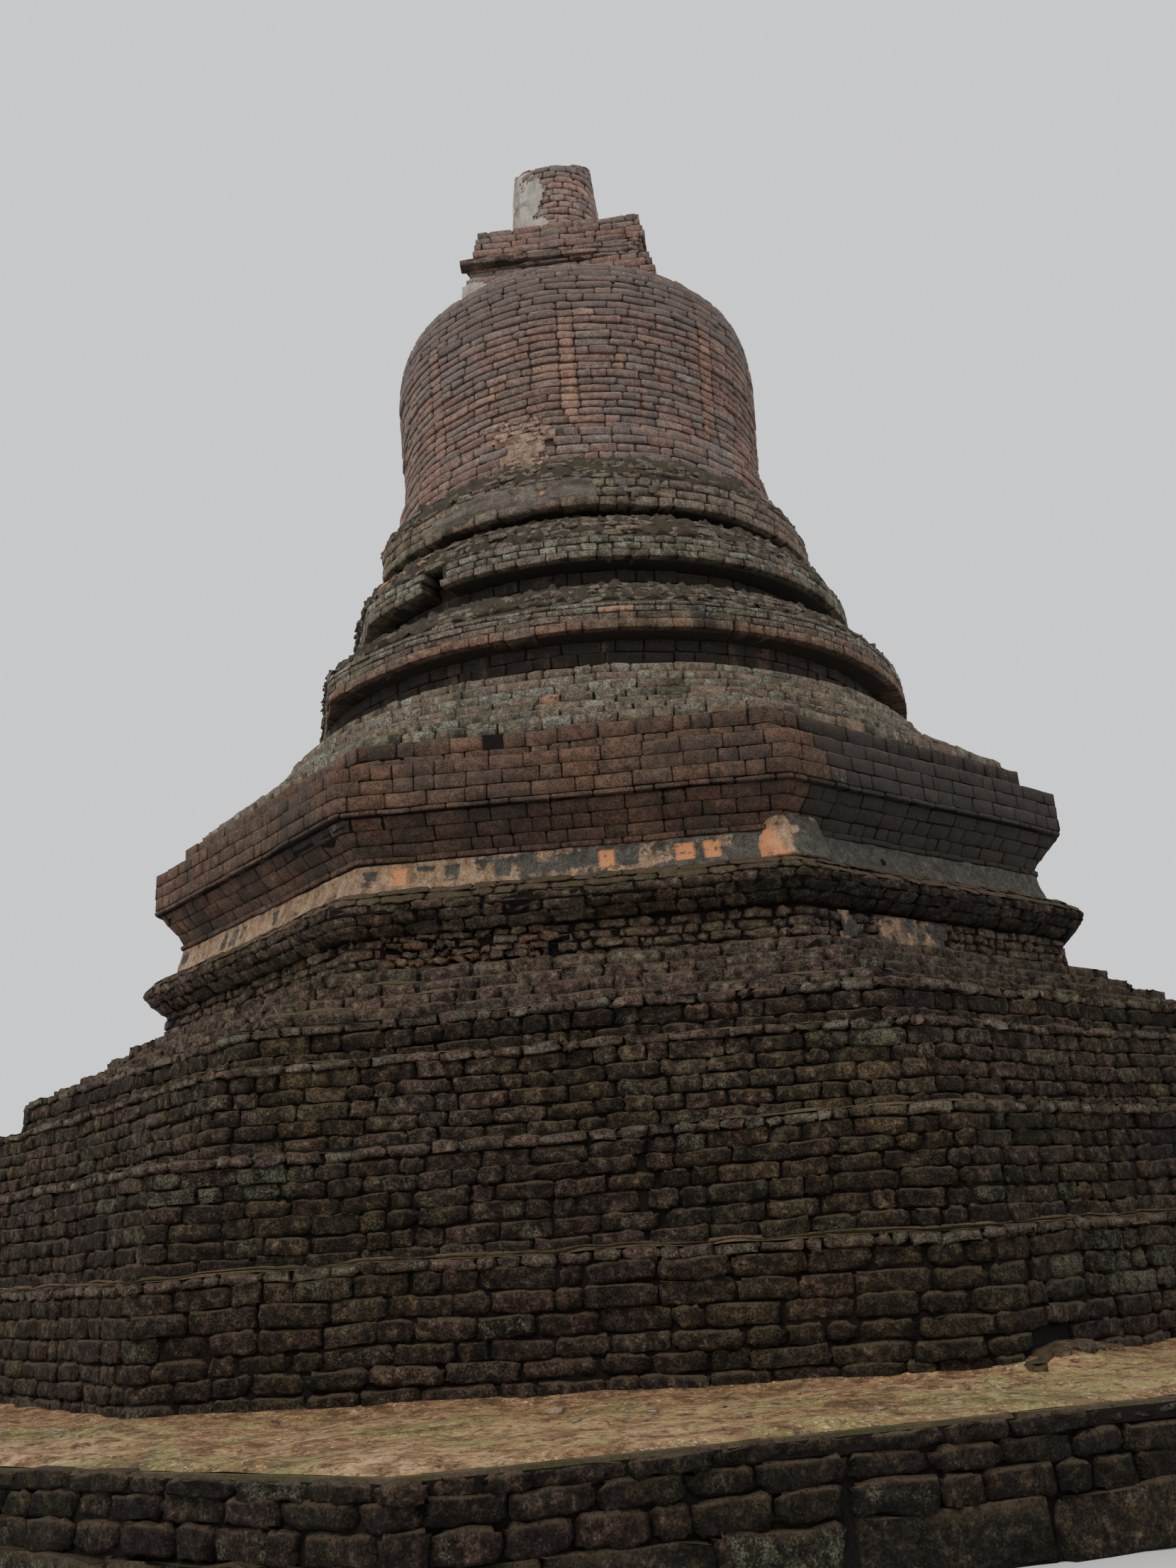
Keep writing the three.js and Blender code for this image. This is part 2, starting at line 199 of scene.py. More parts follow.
slopeLaterite = dict(
    laterite,
    ramp=((0.014, 0.011, 0.009), (0.042, 0.0315, 0.0265), (0.095, 0.071, 0.059), (0.175, 0.134, 0.112),
          (0.260, 0.212, 0.180)),
    film=(0.93, 0.97, 0.82), moss=(0.070, 0.057, 0.027), mossFrom=0.50, lichen=(0.200, 0.210, 0.160),
)
redLaterite = dict(
    laterite,
    ramp=((0.021, 0.0140, 0.011), (0.055, 0.0350, 0.0255), (0.107, 0.0680, 0.0490), (0.170, 0.110, 0.079),
          (0.250, 0.172, 0.128)),
    cool=(0.90, 0.98, 0.99), warm=(1.12, 0.97, 0.90), fresh=(0.24, 0.125, 0.080), toneShare=0.16,
    lichen=(0.19, 0.20, 0.16), soot=(0.030, 0.027, 0.025), sootAmount=0.85, sootRange=(0.50, 0.82),
    streak=(2.3, 2.3, 0.30), jointShade=0.78, relief=0.018, mottleShare=1.3, film=(1, 1, 1), specks=0.15,
)
greyLaterite = dict(
    laterite,
    ramp=((0.030, 0.025, 0.021), (0.066, 0.055, 0.046), (0.122, 0.104, 0.088), (0.200, 0.176, 0.152),
          (0.30, 0.275, 0.245)),
    mottleShare=1.5, film=(0.94, 1.00, 0.86), specks=0.30, cool=(0.94, 1.00, 0.94), warm=(1.30, 0.92, 0.78),
    fresh=(0.36, 0.19, 0.115), lichen=(0.300, 0.320, 0.255), dust=(0.135, 0.105, 0.075),
    moss=(0.110, 0.115, 0.045), soot=(0.030, 0.026, 0.024), sootAmount=0.85, relief=0.022, toneShare=0.17,
    jointShade=0.75,
)
bellLaterite = dict(
    laterite,
    ramp=((0.055, 0.038, 0.031), (0.108, 0.075, 0.062), (0.172, 0.123, 0.104), (0.250, 0.190, 0.164),
          (0.35, 0.285, 0.255)),
    cool=(0.86, 0.99, 1.02), warm=(1.16, 0.95, 0.88), mottleShare=1.4, film=(1, 1, 1), specks=0.10,
    fresh=(0.42, 0.25, 0.165), lichen=(0.34, 0.32, 0.29), dust=(0.25, 0.19, 0.15), moss=(0.16, 0.155, 0.090),
    soot=(0.105, 0.092, 0.088), sootAmount=0.55, relief=0.018, toneShare=0.22, jointShade=0.58,
)
markNames = ("tone", "warmth", "lichen", "fresh", "sooty", "rim")


def stoneMaterial(name, look):
    material, make, where = newMaterial(name)
    tone, warmth, lichenMark, freshMark, sootMark, rim = (mark(make, n) for n in markNames)
    cloud = noise(make, where, 0.7, 4.0, 0.55)
    mottle = noise(make, where, 13.0, 7.0, 0.72)
    grain = noise(make, where, 55.0, 5.0, 0.74)
    patches = noise(make, where, 9.0, 6.0, 0.66, 0.3)
    pits = cells(make, where, 34.0)
    specks = cells(make, where, 62.0)
    streaks = noise(make, scaled(make, where, look["streak"]), 1.0)
    mixed = sums(make, (tone, look["toneShare"]), (mottle, look["mottleShare"]), (grain, 1.5), (cloud, 0.35))
    middle = 0.44 + (look["toneShare"] + look["mottleShare"]) / 2
    colour = ramp(make, less(make, mixed, middle), stoneStops, look["ramp"])
    colour = tint(make, colour, blend(make, warmth, look["cool"], look["warm"]))
    filmed = fade(make, sums(make, (cloud, 0.6), (patches, 0.4)), 0.46, 0.56)
    colour = tint(make, colour, blend(make, filmed, (1, 1, 1), look["film"]))
    broken = fade(make, sums(make, (patches, 0.6), (grain, 0.4)), 0.40, 0.54)
    colour = blend(make, times(make, freshMark, broken), colour, look["fresh"])
    # The soot mark darkens for real soot, and as painted shade on the ring necks and one side of the cornice.
    sooty = fade(make, sums(make, (cloud, 0.6), (streaks, 0.6), (sootMark, 0.5)), *look["sootRange"])
    colour = blend(make, times(make, sooty, look["sootAmount"]), colour, look["soot"])
    # lichen: soft patches where the mark is strong, broken into specks a centimetre across
    edge = less(make, 0.64, times(make, lichenMark, 0.17))
    crust = fade(make, sums(make, (patches, 0.62), (grain, 0.38)), edge, sums(make, (edge, 1.0), (0.10, 1.0)))
    lichen = times(make, crust, fade(make, specks, 0.62, 0.26, 0.30, 1.0))
    colour = blend(make, times(make, lichen, 0.85), colour, look["lichen"])
    dots = times(make, fade(make, specks, 0.22, 0.12), fade(make, patches, 0.44, 0.58))
    colour = blend(make, times(make, dots, look["specks"]), colour, look["lichen"])
    # dust and moss lie on what looks up
    top = upwards(make)
    dusty = times(make, fade(make, top, 0.25, 0.75), fade(make, grain, 0.30, 0.60, 0.35, 1.0))
    colour = blend(make, dusty, colour, look["dust"])
    mossy = fade(make, sums(make, (cloud, 0.5), (patches, 0.5)), look["mossFrom"], look["mossFrom"] + 0.10)
    colour = blend(make, times(make, fade(make, top, 0.20, 0.7), mossy), colour, look["moss"])
    # Painted shade: the rim mark darkens each stone toward its edges and back, where the joints are, and the
    # pits are darkened too.
    pitShadeAndDepth = fade(make, pits, 0.10, 0.34)
    joint = less(make, 1.0, times(make, times(make, rim, rim), look["jointShade"]))
    colour = shades(make, colour, times(make, joint, sums(make, (pitShadeAndDepth, 0.45), (0.60, 1.0))))
    height = sums(make, (mottle, 0.9), (grain, 0.55), (pitShadeAndDepth, 0.30), (lichen, 0.08))
    finish(make, colour, height, look["relief"])
    return material


# Bedding: what shows between and behind the stones
darkBedding = dict(joint=(0.010, 0.0075, 0.0060), soil=(0.085, 0.062, 0.037), moss=(0.052, 0.050, 0.018))
greyBedding = dict(joint=(0.040, 0.032, 0.027), soil=(0.110, 0.088, 0.064), moss=(0.090, 0.092, 0.040))
paleBedding = dict(joint=(0.070, 0.052, 0.045), soil=(0.170, 0.135, 0.110), moss=(0.140, 0.132, 0.080))


def beddingMaterial(name, bedding):
    material, make, where = newMaterial(name)
    mottle = noise(make, where, 6.0, 7.0, 0.65)
    grain = noise(make, where, 60.0, 4.0, 0.7)
    ledge = blend(make, fade(make, mottle, 0.4, 0.6), bedding["soil"], bedding["moss"])
    colour = blend(make, fade(make, upwards(make), 0.5, 0.9), bedding["joint"], ledge)
    colour = shades(make, colour, fade(make, grain, 0.3, 0.7, 0.6, 1.2))
    finish(make, colour, sums(make, (mottle, 1.0), (grain, 0.3)), 0.03)
    return material


# Soil and moss that have settled on the ledges and crowns, and the mortar of the bell
soilLook = dict(soil=(0.165, 0.112, 0.066), moss=(0.072, 0.062, 0.028), dark=(0.034, 0.026, 0.018))
crownLook = dict(soil=(0.072, 0.058, 0.045), moss=(0.060, 0.053, 0.034), dark=(0.030, 0.025, 0.020))
mortarLook = dict(soil=(0.27, 0.195, 0.140), moss=(0.34, 0.235, 0.165), dark=(0.115, 0.080, 0.062))


def soilMaterial(name, look):
    material, make, where = newMaterial(name)
    cloud = noise(make, where, 1.3)
    mottle = noise(make, where, 9.0, 8.0, 0.68)
    grain = noise(make, where, 48.0, 5.0, 0.75)
    mossy = fade(make, sums(make, (cloud, 0.6), (mottle, 0.5)), 0.48, 0.64)
    colour = blend(make, mossy, look["soil"], look["moss"])
    colour = blend(make, fade(make, grain, 0.52, 0.66), colour, look["dark"])
    colour = shades(make, colour, fade(make, mottle, 0.25, 0.75, 0.55, 1.35))
    finish(make, colour, sums(make, (mottle, 1.0), (grain, 0.6)), 0.045)
    return material


# Plaster: what is left of it over the stone, by the marks "plaster" and "orange"
plasterStops = (0.0, 0.45, 1.0)
plasterLook = dict(
    bare=((0.022, 0.019, 0.017), (0.066, 0.060, 0.051), (0.170, 0.155, 0.130)), cover=(0.205, 0.132, 0.082),
    pale=(0.345, 0.245, 0.160), orange=(0.52, 0.215, 0.095), lichen=(0.080, 0.086, 0.058), lichenFrom=0.52,
    drips=(9.0, 9.0, 1.6),
)
renderLook = dict(
    bare=((0.07, 0.060, 0.055), (0.17, 0.150, 0.140), (0.32, 0.29, 0.27)), cover=(0.31, 0.285, 0.235),
    pale=(0.40, 0.375, 0.315), orange=(0.50, 0.30, 0.20), lichen=(0.24, 0.27, 0.19), lichenFrom=0.50,
    drips=(5.0, 5.0, 1.2),
)
ringLook = dict(
    bare=((0.040, 0.034, 0.029), (0.085, 0.073, 0.063), (0.17, 0.15, 0.13)), cover=(0.090, 0.076, 0.062),
    pale=(0.150, 0.130, 0.106), orange=(0.30, 0.18, 0.11), lichen=(0.17, 0.18, 0.13), lichenFrom=0.54,
    drips=(1.5, 1.5, 9.0),
)


def plasterMaterial(name, look):
    material, make, where = newMaterial(name)
    coverMark, orangeMark = mark(make, "plaster"), mark(make, "orange")
    cloud = noise(make, where, 2.4)
    mottle = noise(make, where, 11.0, 7.0, 0.68, 0.4)
    grain = noise(make, where, 58.0, 5.0, 0.74)
    drips = noise(make, scaled(make, where, look["drips"]), 1.0, 5.0, 0.65)
    dappled = less(make, sums(make, (mottle, 1.3), (grain, 1.1)), 0.72)
    bare = ramp(make, dappled, plasterStops, look["bare"])
    growth = sums(make, (cloud, 0.7), (mottle, 0.3))
    growth = fade(make, growth, look["lichenFrom"], look["lichenFrom"] + 0.12)
    bare = blend(make, times(make, growth, 0.75), bare, look["lichen"])
    palest = fade(make, sums(make, (mottle, 0.5), (grain, 0.5)), 0.44, 0.62)
    cover = blend(make, palest, look["cover"], look["pale"])
    cover = shades(make, cover, fade(make, drips, 0.34, 0.60, 0.55, 1.08))
    spread = sums(make, (coverMark, 0.42), (cloud, 0.45), (mottle, 0.45))
    colour = blend(make, fade(make, spread, 0.60, 0.69), bare, cover)
    colour = blend(make, times(make, orangeMark, fade(make, mottle, 0.34, 0.44)), colour, look["orange"])
    colour = shades(make, colour, fade(make, grain, 0.30, 0.70, 0.80, 1.15))
    finish(make, colour, sums(make, (mottle, 0.8), (grain, 0.4), (spread, 0.8)), 0.014)
    return material


wallPlaster = plasterMaterial("wallPlaster", plasterLook)
paleRender = plasterMaterial("paleRender", renderLook)
greyRender = plasterMaterial("greyRender", ringLook)
baseStone = stoneMaterial("baseStone", laterite)
slopeStone = stoneMaterial("slopeStone", slopeLaterite)
corniceStone = stoneMaterial("corniceStone", redLaterite)
ringStone = stoneMaterial("ringStone", greyLaterite)
bellStone = stoneMaterial("bellStone", bellLaterite)
ledgeSoil = soilMaterial("ledgeSoil", soilLook)
crownSoil = soilMaterial("crownSoil", crownLook)
mortar = soilMaterial("mortar", mortarLook)
darkBed = beddingMaterial("darkBedding", darkBedding)
beds = {"ring_": beddingMaterial("greyBedding", greyBedding)}
beds["bell_"] = beds["block_"] = beds["spire_"] = beddingMaterial("paleBedding", paleBedding)
for nodeName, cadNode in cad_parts.items():
    bed = next((made for start, made in beds.items() if nodeName.startswith(start)), darkBed)
    cadNode.data.materials.clear()
    cadNode.data.materials.append(bed)
print("materials made")


# Outlines: plan curves round the stupa, from a polygon to a circle, given by the side distance.
# Breaks are flats where the masonry has fallen: direction in degrees and distance from the axis.
outlineSteps = 1440


def reachAt(angle, face, roundness=0.0, turn=baseTurn, sides=8, breaks=()):
    sector = 2 * np.pi / sides
    inSide = np.mod(angle - turn, sector) - sector / 2
    reach = face / np.cos(inSide) * (1 - roundness) + face * roundness
    for azimuth, distance in breaks:
        facing = np.maximum(np.cos(angle - math.radians(azimuth)), 0.1)
        reach = np.minimum(reach, distance / facing)
    return reach


def outline(face, roundness, turn, sides, breaks, cornerWear):
    angle = np.linspace(0, 2 * np.pi, outlineSteps, endpoint=False)
    shifts = np.array((-1.0, -0.5, 0.0, 0.5, 1.0)) * cornerWear
    reach = sum(reachAt(angle + s, face, roundness, turn, sides, breaks) for s in shifts) / len(shifts)
    points = np.stack([reach * np.cos(angle), reach * np.sin(angle)], 1)
    closed = np.concatenate([points, points[:1]])
    run = np.concatenate([[0], np.cumsum(np.linalg.norm(np.diff(closed, axis=0), axis=1))])
    along = np.roll(points, -1, 0) - np.roll(points, 1, 0)
    along /= np.linalg.norm(along, axis=1)[:, None]
    normal = np.stack([along[:, 1], -along[:, 0]], 1)
    return dict(run=run, length=run[-1], angle=np.append(angle, 2 * np.pi), points=closed,
                normal=np.concatenate([normal, normal[:1]]))


def runAt(curve, azimuth):
    return np.interp(np.mod(azimuth, 2 * np.pi), curve["angle"], curve["run"])


def onOutline(curve, run):
    at = np.mod(run, curve["length"])
    return (np.stack([np.interp(at, curve["run"], curve[what][:, k]) for k in (0, 1)], -1)
            for what in ("points", "normal"))


# Block: one worn stone, a small grid with a skirt that runs back to four corners, which every course
# repeats. Lengths are in roundings, and the two that start with "most" in heights of the stone. "jitter"
# is how much of the lump goes along, in and up.
blockSet = dict(edgeBack=0.8, endBack=1.25, cornerBack=2.3, cornerIn=1.0, innerEdge=1.7, chipped=0.26,
                chip=(0.6, 1.9), ragged=1.7, backRagged=0.3, mostEdge=0.28, mostCorner=0.3,
                jitter=(0.8, 1.0, 0.6))


def blockShape(columns, rows):
    bm = bmesh.new()
    bmesh.ops.create_grid(bm, x_segments=columns, y_segments=rows, size=0.5)
    bmesh.ops.rotate(bm, cent=(0, 0, 0), matrix=Matrix.Rotation(math.pi / 2, 3, "X"), verts=bm.verts)
    skirt = bmesh.ops.extrude_edge_only(bm, edges=[e for e in bm.edges if e.is_boundary])["geom"]
    backVerts = [g for g in skirt if isinstance(g, bmesh.types.BMVert)]
    bmesh.ops.translate(bm, vec=(0, 1, 0), verts=backVerts)
    atCorner = [v for v in backVerts if abs(v.co.x) > 0.49 and abs(v.co.z) > 0.49]
    nearest = {v: min(atCorner, key=lambda c: (c.co - v.co).length) for v in backVerts if v not in atCorner}
    bmesh.ops.weld_verts(bm, targetmap=nearest)
    bmesh.ops.edgeloop_fill(bm, edges=[e for e in bm.edges if e.is_boundary])
    bmesh.ops.recalc_face_normals(bm, faces=bm.faces)
    bm.verts.index_update()
    corners = np.array([v.co[:] for v in bm.verts])
    faces = [[v.index for v in f.verts] for f in bm.faces]
    bm.free()
    column = np.rint((corners[:, 0] + 0.5) * columns)
    row = np.rint((corners[:, 2] + 0.5) * rows)
    back = corners[:, 1] > 0.5
    side = (column == 0) | (column == columns)
    bedEdge = (row == 0) | (row == rows)
    inColumn = ((column - columns / 2) / (columns / 2 - 1)).clip(-1, 1)
    inRow = ((row - rows / 2) / max(rows / 2 - 1, 0.5)).clip(-1, 1)
    return dict(faces=faces, count=len(corners), back=back, side=side, bed=bedEdge,
                rim=(side | bedEdge) & ~back, corner=side & bedEdge & ~back,
                way=np.sign(column - columns / 2), rise=np.sign(row - rows / 2), inColumn=inColumn,
                inRow=inRow)


nearBlock = blockShape(6, 4)
farBlock = blockShape(4, 3)
print("block shapes:", nearBlock["count"], "and", farBlock["count"], "corners")


def blockPoints(rng, shape, length, height, depth, rounding, lump, middle):
    # along, inward and upward places of each block's corners, one row for each block
    length, height, depth, rounding, middle = (v[:, None] for v in (length, height, depth, rounding, middle))
    way, rise, side, bedEdge, back = (shape[k] for k in ("way", "rise", "side", "bed", "back"))
    half = length / 2 - rounding * blockSet["innerEdge"]
    along = middle * (1 - np.abs(shape["inColumn"])) + shape["inColumn"] * half
    along = np.where(side, way * length / 2, along)
    halfRise = height / 2 - np.minimum(rounding, height * blockSet["mostEdge"])
    upward = np.where(bedEdge, rise * height / 2, shape["inRow"] * halfRise)
    inward = np.where(shape["rim"], rounding * blockSet["edgeBack"], 0.0)
    inward = np.where(shape["rim"] & side, rounding * blockSet["endBack"], inward)
    inward = np.where(shape["corner"], rounding * blockSet["cornerBack"], inward)
    size = (len(length), shape["count"])
    chip = shape["corner"] * (rng.random(size) < blockSet["chipped"]) * rng.uniform(*blockSet["chip"], size)
    cornerIn = (blockSet["cornerIn"] + chip) * rounding * shape["corner"]
    along = along - way * cornerIn
    upward = upward - rise * np.minimum(cornerIn, height * blockSet["mostCorner"])
    inward = inward + chip * rounding
    jitter = rng.normal(0, 1, (*size, 3)).clip(-2, 2) * lump
    jitter[:, shape["rim"]] *= blockSet["ragged"]
    jitter[:, back] *= blockSet["backRagged"]
    ragged = jitter * blockSet["jitter"]
    inward = np.where(back, depth, inward + ragged[:, :, 1])
    return along + ragged[:, :, 0], inward, upward + ragged[:, :, 2]


# Styles: how long, worn and rough the stones of a course are, in metres
baseStyle = dict(stretcher=(0.34, 0.48), header=(0.18, 0.26), headerShare=0.38, joint=0.004, bed=0.003,
                 jointSpread=(-0.6, 2.4), rounding=(0.011, 0.023), worn=0.20, lump=0.0066, proud=0.033,
                 push=0.010, tip=0.004, wave=0.018, cornerWear=0.009, shape=nearBlock)
corniceStyle = dict(baseStyle, stretcher=(0.33, 0.44), header=(0.18, 0.24), bed=0.004, jointSpread=(0.5, 1.8),
                    rounding=(0.006, 0.012), worn=0.05, lump=0.0022, proud=0.026, push=0.0035, tip=0.001,
                    wave=0.010, cornerWear=0.004, shape=farBlock)
ringStyle = dict(baseStyle, stretcher=(0.28, 0.44), header=(0.16, 0.24), joint=0.005, bed=0.006,
                 jointSpread=(0.2, 1.8), rounding=(0.007, 0.014), worn=0.15, lump=0.0042, push=0.006,
                 tip=0.0015, wave=0.010, shape=farBlock)
bellStyle = dict(baseStyle, stretcher=(0.32, 0.56), header=(0.17, 0.26), headerShare=0.25, joint=0.003,
                 bed=0.010, jointSpread=(0.5, 1.8), rounding=(0.010, 0.019), worn=0.15, lump=0.0040,
                 proud=0.032, push=0.007, tip=0.0025, wave=0.014, shape=farBlock)

# What all courses share. Outlines rounder than "corners" have no corner for a stone to turn. The joint
# of a corner stone stands "passing" before the corner, and "passMore" further in every other course.
# A rest gets one more stone if it reaches "shortest", a share of the least header. "roundest" is a share
# of the course's height. "pushLimits" and "sunkBy" are in pushes, and "deepest" is a share of how proud
# the stones stand. The tip of a style is its rise over "tipLength".
courseSet = dict(corners=0.5, passing=(0.07, 0.16), passMore=0.10, shortest=0.6, roundings=(1.5, 2.2),
                 wornBy=1.5, roundest=0.22, cornerRoom=1.6, offMiddle=0.10, pushLimits=(-2.0, 1.6),
                 sunkShare=0.02, sunkBy=2.5, deepest=0.6, tipLength=0.2, ownWave=0.35)


def fillRun(rng, total, style):
    lengths = []
    while sum(lengths) < total - style["header"][0] * courseSet["shortest"]:
        between = style["header"] if rng.random() < style["headerShare"] else style["stretcher"]
        lengths.append(rng.uniform(*between))
    return np.array(lengths) * total / max(sum(lengths), 1e-6)


# Waves round the stupa: how many, and their share
waveSet = ((2, 0.57), (5, 0.43), (9, 0.36), (17, 0.25), (31, 0.20), (53, 0.16))


def slowWave(angle, amount, seed):
    phase = np.random.default_rng(seed).uniform(0, 2 * np.pi, len(waveSet))
    return amount * sum(share * np.sin(k * angle + p) for (k, share), p in zip(waveSet, phase))


def cornerRuns(curve, course):
    return runAt(curve, course["turn"] + 2 * np.pi / course["sides"] * np.arange(course["sides"]))


def splitRun(rng, curve, course, style, index):
    # block middles and lengths: a stone turns each corner, and fixed joints and strips keep their places
    stops = []
    if course["roundness"] < courseSet["corners"]:
        shift = rng.uniform(*courseSet["passing"]) + (courseSet["passMore"] if index % 2 else 0.0)
        stops += [(run - shift, 0.0, False) for run in cornerRuns(curve, course)]
    for azimuth, width, isGap in course.get("fixed", ()):
        run = float(runAt(curve, math.radians(azimuth)))
        stops.append((run - width / 2, width, isGap))
    if not stops:
        stops = [(rng.uniform(0, 1), 0.0, False)]
    stops = sorted((run % curve["length"], width, isGap) for run, width, isGap in stops)
    middles, lengths, strips = [], [], []
    for i, (run, width, isGap) in enumerate(stops):
        if width and not isGap:
            middles.append([run + width / 2])
            lengths.append([width])
            strips.append([True])
        start = run + width
        end = stops[i + 1][0] if i + 1 < len(stops) else stops[0][0] + curve["length"]
        part = fillRun(rng, end - start, style)
        middles.append(start + np.cumsum(part) - part / 2)
        lengths.append(part)
        strips.append(np.zeros(len(part), bool))
    return np.concatenate(middles), np.concatenate(lengths), np.concatenate(strips)


def layCourse(rng, course, style, seed, index):
    shape = style["shape"]
    breaks = [(azimuth, distance + style["proud"]) for azimuth, distance in course["breaks"]]
    curve = outline(course["face"] + style["proud"], course["roundness"], course["turn"], course["sides"],
                    breaks, style["cornerWear"])
    middle, length, strip = splitRun(rng, curve, course, style, index)
    count = len(middle)
    toCorner = np.full(count, curve["length"])
    if course["roundness"] < courseSet["corners"]:
        away = cornerRuns(curve, course)[None] - middle[:, None] + curve["length"] / 2
        away = np.mod(away, curve["length"]) - curve["length"] / 2
        toCorner = away[np.arange(count), np.argmin(np.abs(away), axis=1)]
    least, most = style["rounding"]
    rounding = least + (most - least) * rng.beta(*courseSet["roundings"], count)
    rounding = np.where(rng.random(count) < style["worn"], rounding * courseSet["wornBy"], rounding)
    rounding = np.minimum(rounding, course["height"] * courseSet["roundest"])
    onCorner = np.abs(toCorner) < length / 2 - rounding * courseSet["cornerRoom"]
    offMiddle = rng.uniform(-courseSet["offMiddle"], courseSet["offMiddle"], count) * length
    centre = np.where(onCorner, toCorner, offMiddle)
    blockLength = length - style["joint"] * rng.uniform(*style["jointSpread"], count)
    blockHeight = course["height"] - style["bed"] * rng.uniform(*style["jointSpread"], count)
    along, inward, upward = blockPoints(rng, shape, blockLength, blockHeight, np.full(count, course["depth"]),
                                        rounding, style["lump"], centre)
    push = rng.normal(0, style["push"], count).clip(*(k * style["push"] for k in courseSet["pushLimits"]))
    isSunk = rng.random(count) < courseSet["sunkShare"]
    push = np.where(isSunk, push - courseSet["sunkBy"] * style["push"], push)
    push = push.clip(-courseSet["deepest"] * style["proud"])
    tip = rng.normal(0, style["tip"], count) / courseSet["tipLength"]
    place, normal = onOutline(curve, middle[:, None] + along)
    middlePlace, _ = onOutline(curve, middle)
    angle = np.arctan2(place[:, :, 1], place[:, :, 0])
    out = course["lean"] * upward / course["height"] + push[:, None] * ~shape["back"] - inward
    wave = slowWave(angle, style["wave"], style.get("waveSeed", seed))
    wave = wave + slowWave(angle, style["wave"] * courseSet["ownWave"], seed + 7 * index + 1)
    middleHeight = course["foot"] + course["height"] / 2
    height = middleHeight + upward + tip[:, None] * along + wave
    height = np.maximum(height, 0)
    return dict(corners=np.concatenate([place + normal * out[:, :, None], height[:, :, None]], axis=2),
                azimuth=np.degrees(np.arctan2(middlePlace[:, 1], middlePlace[:, 0])), strip=strip,
                index=np.full(count, index), z=np.full(count, middleHeight))


def stack(heights, foot, profile, depth, lean=0.0, **form):
    # courses of the given heights from foot up; profile gives the side distance over the shares 0 to 1
    levels = foot + np.concatenate([[0], np.cumsum(heights)])
    shares = (levels - foot) / (levels[-1] - foot)
    at, faces = zip(*profile)
    made = []
    for i, height in enumerate(heights):
        low, high = np.interp(shares[i:i + 2], at, faces)
        made.append({"foot": levels[i], "height": height, "face": (low + high) / 2 if lean else low,
                     "lean": (high - low) * lean, "depth": depth, "roundness": 0.0, "turn": baseTurn,
                     "sides": 8, "breaks": (), **form})
    return made


def evenly(low, high, count, topShare=1.0):
    heights = np.ones(count)
    heights[-1] = topShare
    return heights / heights.sum() * (high - low)


def span(node):
    low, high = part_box(node)
    return low.z, high.z, high.y


def nodeCourses(node, count, depth, shift=0.0, inset=0.0, **form):
    # even courses up a CAD node's face, shifted outwards and set back by inset at the top
    low, high, face = span(node)
    return stack(evenly(low, high, count), low, ((0, face + shift), (1, face + shift - inset)), depth, **form)


def setMarks(mesh, marks):
    for name, values in marks.items():
        layer = mesh.attributes.new(name, "FLOAT", "POINT")
        layer.data.foreach_set("value", np.asarray(values, np.float32).ravel())


def joinedMesh(name, shape, corners, marks):
    # many blocks of one shape as one mesh, with a value for each corner in each mark
    count = len(corners)
    loops = np.concatenate([np.array(f) for f in shape["faces"]])
    sizes = np.array([len(f) for f in shape["faces"]])
    starts = np.concatenate([[0], np.cumsum(sizes)[:-1]])
    each = np.arange(count)[:, None]
    mesh = bpy.data.meshes.new(name)
    mesh.vertices.add(count * shape["count"])
    mesh.vertices.foreach_set("co", corners.astype(np.float32).ravel())
    mesh.loops.add(count * len(loops))
    mesh.loops.foreach_set("vertex_index", (loops[None] + each * shape["count"]).astype(np.int32).ravel())
    mesh.polygons.add(count * len(sizes))
    mesh.polygons.foreach_set("loop_start", (starts[None] + each * len(loops)).astype(np.int32).ravel())
    mesh.polygons.foreach_set("use_smooth", np.ones(count * len(sizes), bool))
    setMarks(mesh, marks)
    mesh.update(calc_edges=True)
    mesh.validate()
    return mesh


def addPiece(name, mesh, material):
    piece = bpy.data.objects.new(name, mesh)
    scene.collection.objects.link(piece)
    mesh.materials.append(material)
    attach(piece, "root")
    return piece


# How the marks of the stones are spread, and the rim mark at their edges and at their backs, which paints
# shade toward the joints
markSet = dict(tone=(2.2, 2.2), warmth=(1.6, 1.6), lichen=(0.4, 1.0), fresh=(0.3, 1.0), rim=0.6, back=0.4)


